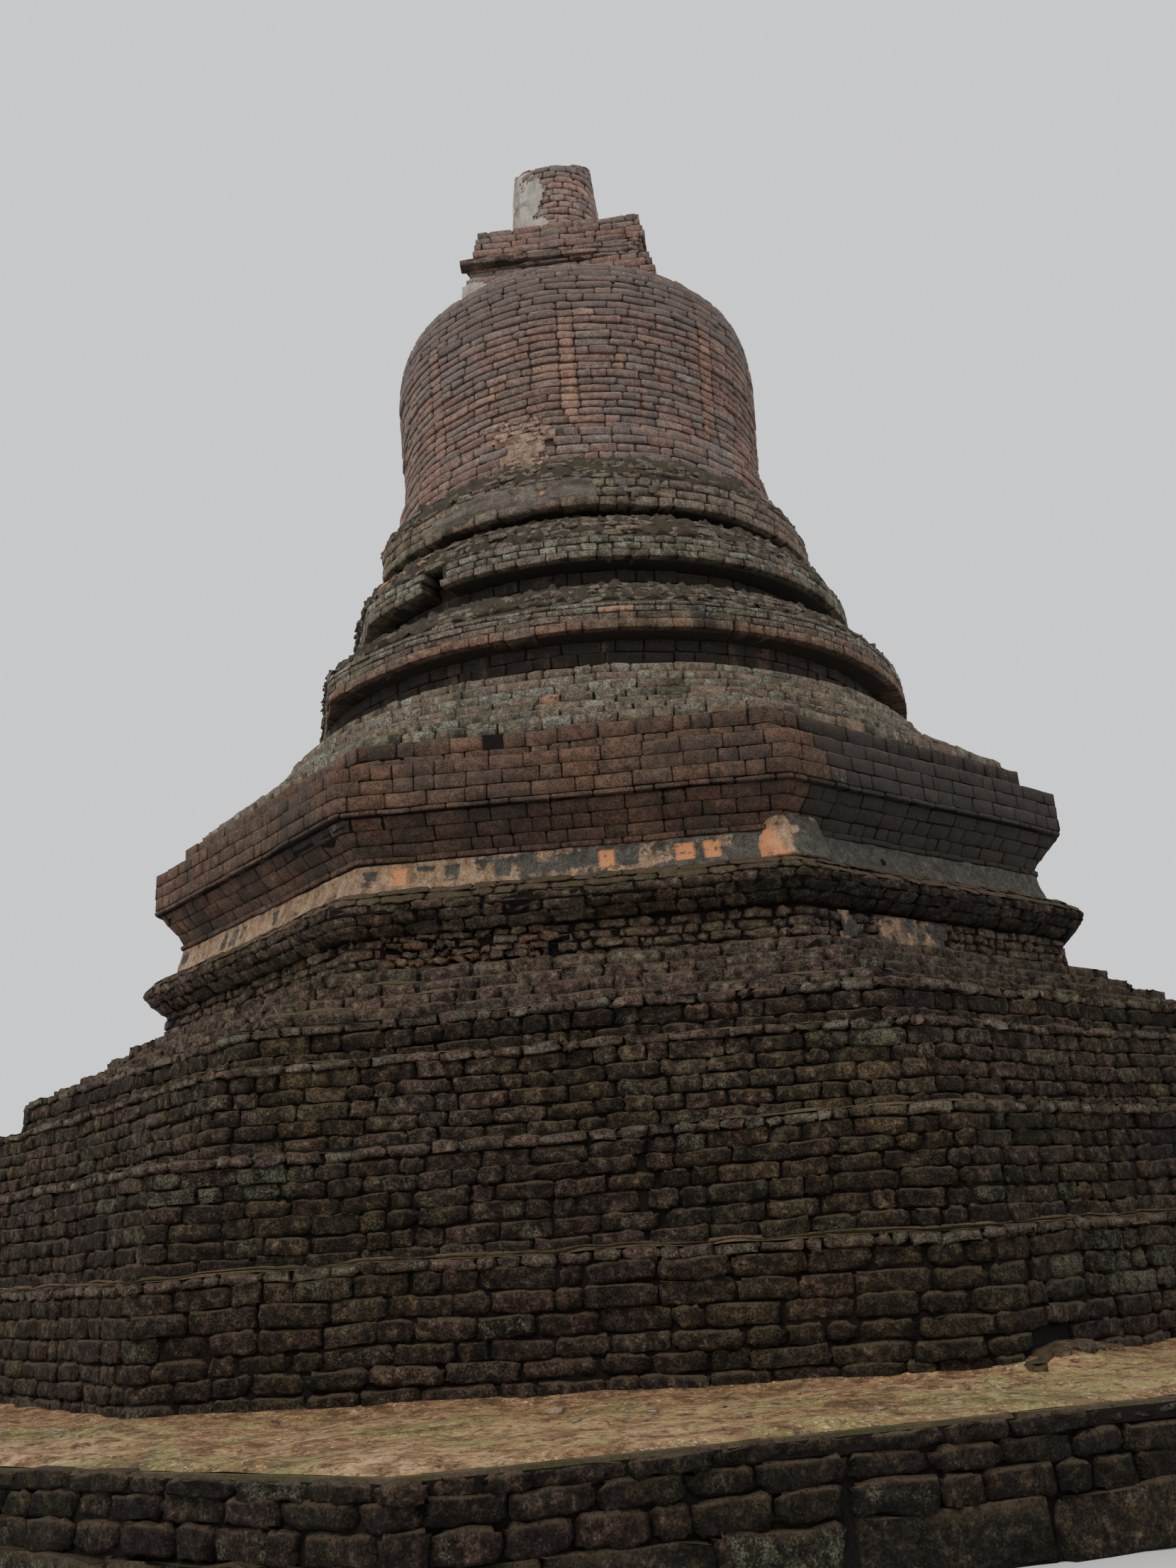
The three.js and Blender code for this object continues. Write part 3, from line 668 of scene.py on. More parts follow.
def masonry(name, courses, style, material, slot, seed, lichen=0.1, fresh=0.01, tone=0.0, paint=None,
            fit=None):
    # lichen and fresh are shares of the stones, and tone makes all of them lighter or darker.
    # paint may change the stones' marks, and fit may move their corners, given as x, y and z.
    rng = np.random.default_rng(seed)
    laid = [layCourse(rng, course, style, seed, i) for i, course in enumerate(courses)]
    stones = SimpleNamespace(rng=rng, **{k: np.concatenate([c[k] for c in laid]) for k in laid[0]})
    count = len(stones.z)
    stones.tone = rng.beta(*markSet["tone"], count) + tone
    stones.warmth = rng.beta(*markSet["warmth"], count)
    stones.lichen = (rng.random(count) < lichen) * rng.uniform(*markSet["lichen"], count)
    stones.fresh = (rng.random(count) < fresh) * rng.uniform(*markSet["fresh"], count)
    stones.sooty = np.zeros(count)
    stones.kept = np.ones(count, bool)
    if paint:
        paint(stones)
    corners = stones.corners
    if fit:
        corners = np.stack(fit(*np.moveaxis(corners, 2, 0)), 2)
    shape = style["shape"]
    marks = {k: np.repeat(getattr(stones, k)[stones.kept], shape["count"]) for k in markNames[:-1]}
    rim = np.where(shape["back"], markSet["back"], shape["rim"] * markSet["rim"])
    marks["rim"] = np.tile(rim, stones.kept.sum())
    print(name, stones.kept.sum(), "blocks")
    return addPiece(name, joinedMesh(name, shape, corners[stones.kept], marks), material)


# What the paint functions share; azimuths are seen from above, in degrees
def chance(stones, share):
    return stones.rng.random(len(stones.z)) < share


def scatter(stones, name, share, low, high, which=True):
    # gives a share of the stones a mark between low and high
    hit = which & chance(stones, share)
    getattr(stones, name)[hit] = stones.rng.uniform(low, high, hit.sum())


def inRanges(azimuth, ranges):
    return np.any([(azimuth > start) & (azimuth < end) for start, end in ranges], axis=0)


def fromMiddle(azimuth, middle):
    return np.mod(azimuth - middle + 180, 360) - 180


# Skins: soil, plaster and earth laid over the stones as a grid bent round the stupa
def lumps(rng, shape, rowCells, columnCells):
    rows, columns = shape
    field = np.fft.fft2(rng.normal(size=shape))
    across = np.fft.fftfreq(rows)[:, None] * rowCells
    along = np.fft.fftfreq(columns)[None] * columnCells
    field = np.real(np.fft.ifft2(field * np.exp(-2 * (across ** 2 + along ** 2))))
    return field / field.std()


def skinPlaces(keyRows, step, spacing, **form):
    # angles, and the reach and height of each row; a key row is a side distance and a height, and may
    # have an outline of its own as its third value
    def reachOf(row, angle):
        return reachAt(angle, row[0], **(row[2] if len(row) > 2 else form))

    def far(row):
        return float(np.mean(reachOf(row, np.linspace(0, 2 * np.pi, 64, endpoint=False))))

    columns = int(2 * np.pi * far(keyRows[0]) / spacing)
    angle = np.linspace(0, 2 * np.pi, columns, endpoint=False)
    reaches, heights = [], []
    for low, high in zip(keyRows, keyRows[1:]):
        gap = math.hypot(far(high) - far(low), high[1] - low[1])
        count = max(1, round(gap / step))
        for t in np.arange(count) / count:
            reaches.append(reachOf(low, angle) * (1 - t) + reachOf(high, angle) * t)
            heights.append(np.full(columns, low[1] * (1 - t) + high[1] * t))
    reaches.append(reachOf(keyRows[-1], angle))
    heights.append(np.full(columns, keyRows[-1][1]))
    return angle, np.array(reaches), np.array(heights)


def skin(name, angle, reach, height, material, marks=None, kept=None, thickness=0.0, fit=None):
    rows, columns = reach.shape
    x, y = reach * np.cos(angle), reach * np.sin(angle)
    if fit:
        x, y, height = fit(x, y, height)
    bm = bmesh.new()
    layers = {k: bm.verts.layers.float.new(k) for k in (marks or {})}
    bmesh.ops.create_grid(bm, x_segments=columns, y_segments=rows - 1, size=0.5)
    gone = []
    for v in bm.verts:
        i = round((v.co.x + 0.5) * columns) % columns
        j = round((v.co.y + 0.5) * (rows - 1))
        v.co = (x[j, i], y[j, i], height[j, i])
        for key, layer in layers.items():
            v[layer] = marks[key][j, i]
        if kept is not None and not kept[j, i]:
            gone.append(v)
    if gone:
        bmesh.ops.delete(bm, geom=gone, context="VERTS")
    bmesh.ops.remove_doubles(bm, verts=bm.verts, dist=1e-5)
    if thickness:
        bmesh.ops.solidify(bm, geom=bm.faces, thickness=thickness)
    for face in bm.faces:
        face.smooth = True
    mesh = bpy.data.meshes.new(name)
    bm.to_mesh(mesh)
    bm.free()
    print(name, len(mesh.polygons), "faces")
    return addPiece(name, mesh, material)


# Shares of a lump of soil: how far it comes out, and how far it rises at the edges
soilSet = dict(out=0.5, edge=0.3)


def soilOn(name, keyRows, material, slot, seed, amount=0.02, step=0.07, spacing=0.10, lumpSize=4, wave=None,
           fit=None, **form):
    # wave is the amount and seed of the course that the soil lies on
    rng = np.random.default_rng(seed)
    angle, reach, height = skinPlaces(keyRows, step, spacing, **form)
    rise = lumps(rng, reach.shape, lumpSize, lumpSize) * amount
    if wave:
        height = height + slowWave(angle, *wave)[None]
    edge = np.ones(len(reach))
    edge[[0, -1]] = soilSet["edge"]
    height = height + rise * edge[:, None]
    return skin(name, angle, reach + rise * soilSet["out"], height, material, fit=fit)


# What the shells of plaster share; the sizes of lumps and patches are in cells of their grid
renderSet = dict(grid=0.045, lumpSize=5, uneven=0.008, patchSize=6, patchy=0.2, thickness=0.03)


def renderSkin(name, keyRows, seed, ranges, material, slot, ragged=9, cover=0.95, fit=None, **form):
    # a shell over ranges of azimuth, from 0 to 360, with a ragged edge
    angle, reach, height = skinPlaces(keyRows, renderSet["grid"], renderSet["grid"], **form)
    rng = np.random.default_rng(seed)
    size, patch = renderSet["lumpSize"], renderSet["patchSize"]
    inside = inRanges(np.degrees(angle)[None] + lumps(rng, reach.shape, size, size) * ragged, ranges)
    reach = reach + lumps(rng, reach.shape, size, size) * renderSet["uneven"]
    plaster = cover + lumps(rng, reach.shape, patch, patch) * renderSet["patchy"]
    marks = {"plaster": plaster.clip(0, 1), "orange": np.zeros(reach.shape)}
    return skin(name, angle, reach, height, material, marks, inside, renderSet["thickness"], fit)


# Terrace wall: a footing of large plain stones, two courses of blocks and a thin coping.
# One joint stands wide open in the footing and in the course over it: its azimuth and width.
terraceSet = dict(footing=0.33, lower=0.17, depth=0.3, copingDepth=0.24, tone=-0.45, wallBack=(0.012, 0.03),
                  copingBack=(0.025, 0.03), missing=((-79.6, 0.045, True),))


def terraceFace():
    reach = max(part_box(f"terrace_wall_{i + 1}")[1].x for i in range(8)) / math.cos(terraceTurn)
    return reach * octagonSide


def terrace():
    low, high = (corner.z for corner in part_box("terrace_wall_1"))
    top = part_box("terrace_fill")[1].z
    face = terraceFace()
    footing, depth, missing = (terraceSet[k] for k in ("footing", "depth", "missing"))
    courses = stack([footing], low, ((0, face), (1, face)), depth, turn=terraceTurn, fixed=missing)
    style = dict(baseStyle, stretcher=(0.9, 1.5), header=(0.6, 0.9), rounding=(0.014, 0.022), lump=0.012,
                 push=0.012, wave=0.004, joint=0.014)
    common = dict(material=baseStone, slot="terrace_stone", tone=terraceSet["tone"])
    masonry("terraceFooting", courses, style, seed=10, lichen=0.25, fresh=0.0, **common)
    lower = low + footing
    heights = [terraceSet["lower"], high - lower - terraceSet["lower"]]
    faces = [(i, face - back) for i, back in enumerate(terraceSet["wallBack"])]
    courses = stack(heights, lower, faces, depth, turn=terraceTurn)
    courses[0]["fixed"] = missing
    style = dict(baseStyle, stretcher=(0.36, 0.52), header=(0.22, 0.32), headerShare=0.3, wave=0.012,
                 rounding=(0.014, 0.034), lump=0.008)
    masonry("terraceBlocks", courses, style, seed=11, lichen=0.12, **common)
    faces = [(i, face - back) for i, back in enumerate(terraceSet["copingBack"])]
    courses = stack([top - high], high, faces, terraceSet["copingDepth"], turn=terraceTurn)
    style = dict(style, rounding=(0.020, 0.034), lump=0.009, push=0.014)
    masonry("terraceCoping", courses, style, seed=12, lichen=0.25, **common)


terrace()


# Earth on the terrace: trodden soil, a little higher against the base. Its brown edge beside the base
# fades out between two distances from the axis.
earthSet = dict(tan=(0.330, 0.200, 0.100), olive=(0.165, 0.150, 0.055), dark=(0.085, 0.056, 0.032),
                straw=(0.50, 0.36, 0.20), brown=(0.190, 0.098, 0.050), brownFades=(8.15, 9.05))
# Loose stones: small chips everywhere, and larger ones where stones fell out of the foot of the base
chipSet = dict(count=380, size=(0.015, 0.050), heapSize=(0.05, 0.13), lying=0.030, heapLying=0.060)
heapSet = dict(azimuth=-63.8, half=2.2, ceiling=1.05, rise=0.11, reach=0.50, stones=34)


def earthMaterial():
    material, make, where = newMaterial("terraceEarth")
    cloud = noise(make, where, 0.55)
    mottle = noise(make, where, 5.0, 8.0, 0.66)
    grain = noise(make, where, 34.0, 6.0, 0.78)
    turf = noise(make, where, 14.0, 7.0, 0.78)
    worn = noise(make, where, 1.7, 6.0, 0.65)
    grassy = fade(make, sums(make, (cloud, 0.6), (mottle, 0.4)), 0.46, 0.54)
    colour = blend(make, grassy, earthSet["tan"], earthSet["olive"])
    colour = blend(make, fade(make, worn, 0.50, 0.60, 0.0, 0.85), colour, earthSet["brown"])
    fromAxis = make("VectorMath", {0: scaled(make, where, (1, 1, 0))}, operation="LENGTH").outputs["Value"]
    beside = fade(make, sums(make, (fromAxis, 1.0), (mottle, 0.9)), *earthSet["brownFades"], 0.8, 0.0)
    colour = blend(make, beside, colour, earthSet["brown"])
    colour = blend(make, fade(make, turf, 0.48, 0.58, 0.0, 0.90), colour, earthSet["dark"])
    colour = blend(make, fade(make, grain, 0.54, 0.62, 0.0, 0.9), colour, earthSet["straw"])
    colour = shades(make, colour, fade(make, mottle, 0.36, 0.64, 0.52, 1.48))
    finish(make, colour, sums(make, (mottle, 1.0), (turf, 0.5), (grain, 0.4)), 0.03)
    return material


def terraceTop():
    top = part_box("terrace_fill")[1].z
    foot = span("base_tier_1")[2]
    reach = terraceFace()
    wallForm = dict(turn=terraceTurn)
    keyRows = ((reach - 0.09, top, wallForm), (reach - 0.20, top + 0.026, wallForm),
               (foot + 0.5, top + 0.032), (foot + 0.18, top + 0.045), (foot + 0.01, top + 0.075))
    heapAngle = math.radians(heapSet["azimuth"])
    heapFar = reachAt(heapAngle, foot + 0.05)
    heapX, heapY = heapFar * math.cos(heapAngle), heapFar * math.sin(heapAngle)

    def heaped(x, y, z):
        away = np.hypot(x - heapX, y - heapY) / heapSet["reach"]
        return x, y, z + heapSet["rise"] * np.exp(-1.5 * away ** 2)

    soilOn("terraceSoil", keyRows, earthMaterial(), "terrace_earth", 13, amount=0.010, step=0.09,
           spacing=0.09, fit=heaped)
    rng = np.random.default_rng(14)
    count = chipSet["count"]
    angle = rng.uniform(0, 2 * np.pi, count)
    share = rng.uniform(0.02, 0.98, count) ** 0.8
    far = reachAt(angle, foot + 0.12) * (1 - share) + reachAt(angle, reach - 0.4, turn=terraceTurn) * share
    size = rng.uniform(*chipSet["size"], count) * (1 + (rng.random(count) < 0.06))
    inHeap = np.arange(count) < heapSet["stones"]
    angle = np.where(inHeap, heapAngle + rng.normal(0, 0.024, count), angle)
    far = np.where(inHeap, reachAt(angle, foot + rng.uniform(0.0, 0.20, count)), far)
    size = np.where(inHeap, rng.uniform(*chipSet["heapSize"], count), size)
    along, inward, upward = blockPoints(rng, farBlock, size * 1.5, size * 0.7, size, size * 0.20, 0.004,
                                        np.zeros(count))
    spin = rng.uniform(0, 2 * np.pi, count)[:, None]
    inward = inward - size[:, None] / 2
    x = (far * np.cos(angle))[:, None] + along * np.cos(spin) - inward * np.sin(spin)
    y = (far * np.sin(angle))[:, None] + along * np.sin(spin) + inward * np.cos(spin)
    lying = np.where(inHeap[:, None], chipSet["heapLying"] + upward * 0.8, chipSet["lying"] + upward * 0.5)
    corners = np.stack(heaped(x, y, top + lying), 2)
    pale = (rng.random(count) < 0.35) * 1.0
    none = np.zeros(count)
    marks = dict(tone=rng.random(count) + 0.8, warmth=rng.random(count), lichen=pale * 1.2,
                 fresh=(1 - pale) * 0.7, sooty=none, rim=none)
    for name, shown, material in (("terraceChips", ~inHeap, bellStone), ("heapStones", inHeap, slopeStone)):
        spread = {k: np.repeat(v[shown], farBlock["count"]) for k, v in marks.items()}
        addPiece(name, joinedMesh(name, farBlock, corners[shown], spread), material)


terraceTop()


# Base tiers: the top course is thin and stands a little proud, the bottom tier is the most worn
tierSet = (dict(courses=7, lichen=0.14, style=dict(rounding=(0.014, 0.032), stretcher=(0.38, 0.56),
                                                   header=(0.20, 0.30))),
           dict(courses=7, lichen=0.12, style=dict(rounding=(0.011, 0.025))),
           dict(courses=6, lichen=0.18, style=dict(rounding=(0.011, 0.025)), tone=0.35),
           dict(courses=3, lichen=0.16, style=dict(rounding=(0.011, 0.025))))
# Crusts of lichen: the share of the stones, and how strong from and to
tierShape = dict(topShare=0.62, uneven=(0.9, 1.1), batter=0.025, topProud=0.020, depth=0.26,
                 topCrust=(0.75, 0.5, 1.3), spotCrust=(0.75, 0.8, 1.5))
# Pale lichened stones: the tier, from which azimuth to which, and heights. Then a crack in one tier.
lichenSpots = ((2, -121, -99, (2.28, 2.60)), (3, -75, -62, (3.15, 3.33)), (1, -62, -40, (1.1, 1.75)),
               (3, -104, -88, (3.2, 3.33)), (2, 30, 52, (2.28, 2.60)), (1, 100, 128, (1.2, 1.75)))
crackSet = dict(tier=2, azimuth=-84.4, gap=(0.030, 0.055), step=0.9, courses=5)


def baseTier(number, tier):
    low, high, face = span(f"base_tier_{number}")
    rng = np.random.default_rng(300 + number)
    heights = evenly(low, high, tier["courses"], tierShape["topShare"])
    heights = heights * rng.uniform(*tierShape["uneven"], tier["courses"])
    heights *= (high - low) / heights.sum()
    courses = stack(heights, low, ((0, face), (1, face - tierShape["batter"])), tierShape["depth"])
    topCourse = courses.pop()
    topCourse["face"] += tierShape["topProud"]
    if number == crackSet["tier"]:
        for k, course in enumerate(courses):
            shift = crackSet["step"] * (0.5 if k % 2 else -0.5) * (k < crackSet["courses"])
            course["fixed"] = ((crackSet["azimuth"] + shift, rng.uniform(*crackSet["gap"]), True),)

    def paint(stones):
        azimuth, z = stones.azimuth, stones.z
        for spotTier, start, end, (floor, ceiling) in lichenSpots:
            inSpot = (azimuth > start) & (azimuth < end) & (z > floor) & (z < ceiling) & (spotTier == number)
            scatter(stones, "lichen", *tierShape["spotCrust"], inSpot)
        fallen = (np.abs(azimuth - heapSet["azimuth"]) < heapSet["half"]) & (z < heapSet["ceiling"])
        stones.kept &= ~fallen

    def paintTop(stones):
        scatter(stones, "lichen", *tierShape["topCrust"])

    seed = 20 + number
    style = dict(baseStyle, **tier["style"])
    masonry(f"tierBlocks{number}", courses, style, baseStone, "base_laterite", seed, lichen=tier["lichen"],
            fresh=0.0, tone=tier.get("tone", 0.0), paint=paint)
    style = dict(baseStyle, stretcher=(0.20, 0.38), header=(0.10, 0.18), rounding=(0.012, 0.022), lump=0.010,
                 push=0.016, waveSeed=seed, shape=farBlock)
    masonry(f"tierTop{number}", [topCourse], style, slopeStone, "base_laterite", 200 + seed, fresh=0.0,
            tone=0.3, paint=paintTop)
    above = span(f"base_tier_{number + 1}" if number < len(tierSet) else "slope_course_1")[2]
    keyRows = ((face - 0.01, high - 0.006), (face - 0.10, high + 0.008), (above + 0.06, high + 0.014),
               (above + 0.025, high + 0.036))
    soilOn(f"tierSoil{number}", keyRows, ledgeSoil, "base_laterite", 100 + seed, amount=0.008, step=0.04,
           spacing=0.06, wave=(baseStyle["wave"], seed))


for i, tier in enumerate(tierSet):
    baseTier(i + 1, tier)


# Slope: four single courses that step back, mossy on top, darker right of an azimuth as painted shade.
# Over them stands the low wall under the band, where the facing has fallen in places and the rubble core
# shows; the azimuths of its plaster go from 0 to 360.
slopeSet = dict(seed=31, depth=0.34, shadeFrom=-67, darker=0.55)
underwallSet = dict(cores=((-109, -92), (-14, 4), (61, 70), (118, 139)), depth=0.2, coreLost=0.05,
                    coreFreshAndLit=(0.65, 0.1, 0.6), plaster=((300, 316), (30, 38), (165, 181)))


def slope():
    courses = []
    for i in range(4):
        node = f"slope_course_{i + 1}"
        _, high, face = span(node)
        courses += nodeCourses(node, 1, slopeSet["depth"])
        above = span(f"slope_course_{i + 2}" if i < 3 else "band_underwall")[2]
        soilOn(f"slopeSoil{i + 1}", ((face - 0.05, high - 0.010), (above + 0.02, high + 0.035)), ledgeSoil,
               "moss_laterite", 130 + i, amount=0.012, wave=(baseStyle["wave"], slopeSet["seed"]))
    style = dict(baseStyle, rounding=(0.012, 0.026), push=0.016, lump=0.009, stretcher=(0.32, 0.54))

    def paint(stones):
        # Painted shade: the stones right of the azimuth get a lower tone.
        stones.tone -= (stones.azimuth > slopeSet["shadeFrom"]) * slopeSet["darker"]

    masonry("slopeBlocks", courses, style, slopeStone, "moss_laterite", slopeSet["seed"], lichen=0.22,
            fresh=0.0, paint=paint)


def underwall():
    facing = nodeCourses("band_underwall", 4, underwallSet["depth"], -0.005, 0.005)
    style = dict(baseStyle, stretcher=(0.22, 0.36), header=(0.10, 0.18), rounding=(0.012, 0.026), lump=0.010,
                 push=0.016, joint=0.012, shape=farBlock)

    def paint(stones):
        stones.kept &= ~inRanges(stones.azimuth, underwallSet["cores"])

    masonry("underwallBlocks", facing, style, slopeStone, "moss_laterite", 32, fresh=0.05, tone=0.5,
            paint=paint)
    core = nodeCourses("band_underwall", 5, underwallSet["depth"], 0.02, 0.02)
    style = dict(baseStyle, stretcher=(0.12, 0.24), header=(0.06, 0.12), rounding=(0.007, 0.014), lump=0.014,
                 push=0.026, joint=0.006, tip=0.02, shape=farBlock)

    def paintCore(stones):
        lost = chance(stones, underwallSet["coreLost"])
        stones.kept &= inRanges(stones.azimuth, underwallSet["cores"]) & ~lost
        # The fresh mark and the higher tone give the core its own pale colour, and also paint light where the
        # band's shadow falls.
        scatter(stones, "fresh", *underwallSet["coreFreshAndLit"])

    masonry("underwallCore", core, style, slopeStone, "moss_laterite", 33, lichen=0.2, tone=0.6,
            paint=paintCore)
    low, high, face = span("band_underwall")
    renderSkin("underwallPlaster", ((face + 0.055, low + 0.06), (face + 0.040, high - 0.02)), 183,
               underwallSet["plaster"], wallPlaster, "stucco", ragged=2.5, cover=0.42)


slope()
underwall()


# Band: a heavy rounded moulding of five courses. Its section is given by the share of the height and
# how far it draws back from the face; right of an azimuth its stones are darker, as painted shade.
bandSet = dict(section=((0.0, 0.19), (0.25, 0.06), (0.45, 0), (0.62, 0), (0.86, 0.13), (1.0, 0.25)),
               courses=5, depth=0.32, tone=0.05, shadeFrom=-72, shadeTone=-1.0)


def bandCourses():
    low, high, face = span("octagon_band")
    section = [(share, face - back) for share, back in bandSet["section"]]
    courses = stack(evenly(low, high, bandSet["courses"]), low, section, bandSet["depth"], lean=1.0)
    style = dict(baseStyle, rounding=(0.010, 0.022), lump=0.008, wave=0.008, stretcher=(0.32, 0.52))

    def paint(stones):
        # Painted shade: the stones right of the azimuth get a much lower tone.
        stones.tone += np.where(stones.azimuth < bandSet["shadeFrom"], bandSet["tone"], bandSet["shadeTone"])

    masonry("bandBlocks", courses, style, slopeStone, "base_laterite", 37, lichen=0.15, fresh=0.0,
            paint=paint)
    recessFace = -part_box("recess_wall")[0].y
    soilOn("bandSoil", ((face - 0.29, high - 0.015), (recessFace + 0.01, high + 0.02)), ledgeSoil,
           "base_laterite", 137, amount=0.010)


bandCourses()


# Recess wall: thin plaster with small sunk panels. The share of plaster follows three sides from the
# front left corner on (0 to 3), and the other sides repeat them.
recessSet = dict(cover=0.024, grid=(0.024, 0.030), pitch=0.27, panelWidth=0.165, panel=(0.085, 0.25),
                 sunk=0.015, start=-157.5, lip=(0.27, 0.012), orangePanels=(-108.6, -86.2, -78.0, -73.9),
                 uneven=0.004, bareUneven=0.003, patchSize=(6, 14), patchy=0.18, mostBared=0.75,
                 shares=((0, 0.95), (1.0, 1.0), (1.28, 0.75), (1.42, 0.30), (1.9, 0.30), (2.05, 0.0),
                         (3, 0.0)))


def recess():
    low, high, face = span("recess_wall")
    cover = recessSet["cover"]
    inner = span("cornice_lower_fillet")[2] - 0.035
    angle, reach, height = skinPlaces(((face + cover, low), (inner + cover, high)), *recessSet["grid"])
    rng = np.random.default_rng(140)
    azimuth = np.degrees(angle)
    share = np.mod(azimuth - recessSet["start"], 360) / 45
    perSide = round(2 * face * math.tan(math.pi / 8) / recessSet["pitch"])
    place = np.mod(share, 1) * perSide
    panel = np.floor(share).astype(int) * perSide + np.floor(place).astype(int)
    orange = np.zeros(8 * perSide, bool)
    for wanted in recessSet["orangePanels"]:
        nearest = np.argmin(np.abs(fromMiddle(azimuth, wanted)))
        orange[panel[nearest]::3 * perSide] = True
    inPanel = np.abs(np.mod(place, 1) - 0.5) < recessSet["panelWidth"] / recessSet["pitch"] / 2
    rise = height - low
    floor, ceiling = recessSet["panel"]
    sunk = inPanel[None] & (rise > floor) & (rise < ceiling)
    lipFrom, lipOut = recessSet["lip"]
    reach = reach - sunk * recessSet["sunk"] + (rise > lipFrom) * lipOut
    plaster = np.interp(np.mod(share, 3), *zip(*recessSet["shares"]))[None]
    uneven = recessSet["uneven"] + recessSet["bareUneven"] * (1 - plaster)
    reach = reach + lumps(rng, reach.shape, 5, 5) * uneven
    plaster = plaster + lumps(rng, reach.shape, *recessSet["patchSize"]) * recessSet["patchy"]
    bared = rng.uniform(0.0, recessSet["mostBared"], len(orange))
    plaster = plaster - sunk * np.where(orange, 0.0, bared)[panel][None]
    marks = {"plaster": plaster.clip(0, 1), "orange": (sunk & orange[panel][None]) * 1.0}
    skin("recessPlaster", angle, reach, height, wallPlaster, marks)


recess()

# Stucco lump over the front right corner of the recess
humpSet = dict(azimuth=-65.6, half=4.6, rise=0.50, reach=0.17, bury=0.03, thickness=0.05, orangeTo=-0.50)


def hump():
    low, high, face = span("recess_wall")
    inner = span("cornice_lower_fillet")[2]
    keyRows = ((face, low + 0.01), (inner, high), (inner, low + humpSet["rise"]))
    angle, reach, height = skinPlaces(keyRows, *recessSet["grid"])
    rng = np.random.default_rng(141)
    across = fromMiddle(np.degrees(angle), humpSet["azimuth"])[None] / humpSet["half"]
    upShare = (height - low) / humpSet["rise"]
    narrow = 1 - 0.35 * upShare.clip(0, 1) ** 2
    dome = np.sqrt((1 - (across / narrow) ** 2).clip(0, 1)) * np.sqrt((1 - upShare ** 3).clip(0, 1))
    uneven = lumps(rng, reach.shape, 4, 4) * 0.012 * (dome > 0.1)
    reach = reach + humpSet["reach"] * dome - humpSet["bury"] + uneven
    kept = np.abs(across) < 1.08 + 0 * height
    orange = (across < humpSet["orangeTo"] - 0.3 * upShare) & (upShare < 0.62) & (dome > 0.2)
    covered = (across < -0.35) | ((dome < 0.5) & (across < 0.3))
    plaster = np.where(covered, 0.8, 0.15) + lumps(rng, reach.shape, 5, 5) * 0.25
    marks = {"plaster": plaster.clip(0, 1), "orange": orange * 0.8}
    lump = skin("stuccoHump", angle, reach, height, wallPlaster, marks, kept, humpSet["thickness"])
    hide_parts("stucco_hump")


hump()


# Cornice: a fillet, three courses of a cyma that lean out, a drip and three courses of the fascia.
# The cyma and the drip, courses 1 to 4, are in the lee, and one side is grey with soot and darkened as
# painted shade.
corniceSet = dict(depth=0.2, cymaDepth=0.25, fasciaDepth=0.3, lee=(1, 4), leeTone=0.35, leeSoot=0.12,
                  sooty=(-64, -20), soot=0.8, sootTone=0.3, sootWarmth=0.2, fresh=(0.06, 0.3))


def isSootyShadedSide(azimuth):
    start, end = corniceSet["sooty"]
    return (azimuth > start) & (azimuth < end)


def cornice():
    depth = corniceSet["depth"]
    courses = nodeCourses("cornice_lower_fillet", 1, depth)
    low, high, face = span("cornice_cyma")
    inner = -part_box("recess_wall")[0].y - 0.10
    section = ((0.0, inner), (0.2, inner + 0.03), (0.5, (inner + face) / 2), (0.8, face - 0.03), (1.0, face))
    courses += stack(evenly(low, high, 3), low, section, corniceSet["cymaDepth"], lean=1.0)
    courses += nodeCourses("cornice_upper_fillet", 1, depth)
    courses += nodeCourses("cornice_fascia", 3, corniceSet["fasciaDepth"])

    def paint(stones):
        first, last = corniceSet["lee"]
        lee = (stones.index >= first) & (stones.index <= last)
        stones.tone += lee * corniceSet["leeTone"]
        stones.sooty[lee] = corniceSet["leeSoot"]
        # The grey side: soot, and painted shade on that side of the cornice.
        grey = isSootyShadedSide(stones.azimuth)
        stones.sooty[grey] = corniceSet["soot"]
        stones.tone[grey] += corniceSet["sootTone"]
        stones.warmth[grey] *= corniceSet["sootWarmth"]
        share, amount = corniceSet["fresh"]
        stones.fresh[(stones.index > last) & chance(stones, share)] = amount

    masonry("corniceBlocks", courses, corniceStyle, corniceStone, "red_laterite", 41, lichen=0.02, fresh=0.02,
            paint=paint)


cornice()


# Roof: courses that grow round as they rise. One stone is missing at the front of the lowest part, given
# by its azimuth and width.
roofSet = (dict(roundness=0.0, courses=2, inset=0.02), dict(roundness=0.15, courses=1, inset=0.02),
           dict(roundness=0.35, courses=1, inset=0.02), dict(roundness=0.6, courses=1, inset=0.02),
           dict(roundness=0.85, courses=4, inset=0.38))
roofLook = dict(depth=0.34, missing=((-97.7, 0.20, True),), lowCrust=(0.35, 0.6), crust=(0.7, 0.4, 1.2),
                warmth=0.7, tone=(0.5, 0.6))


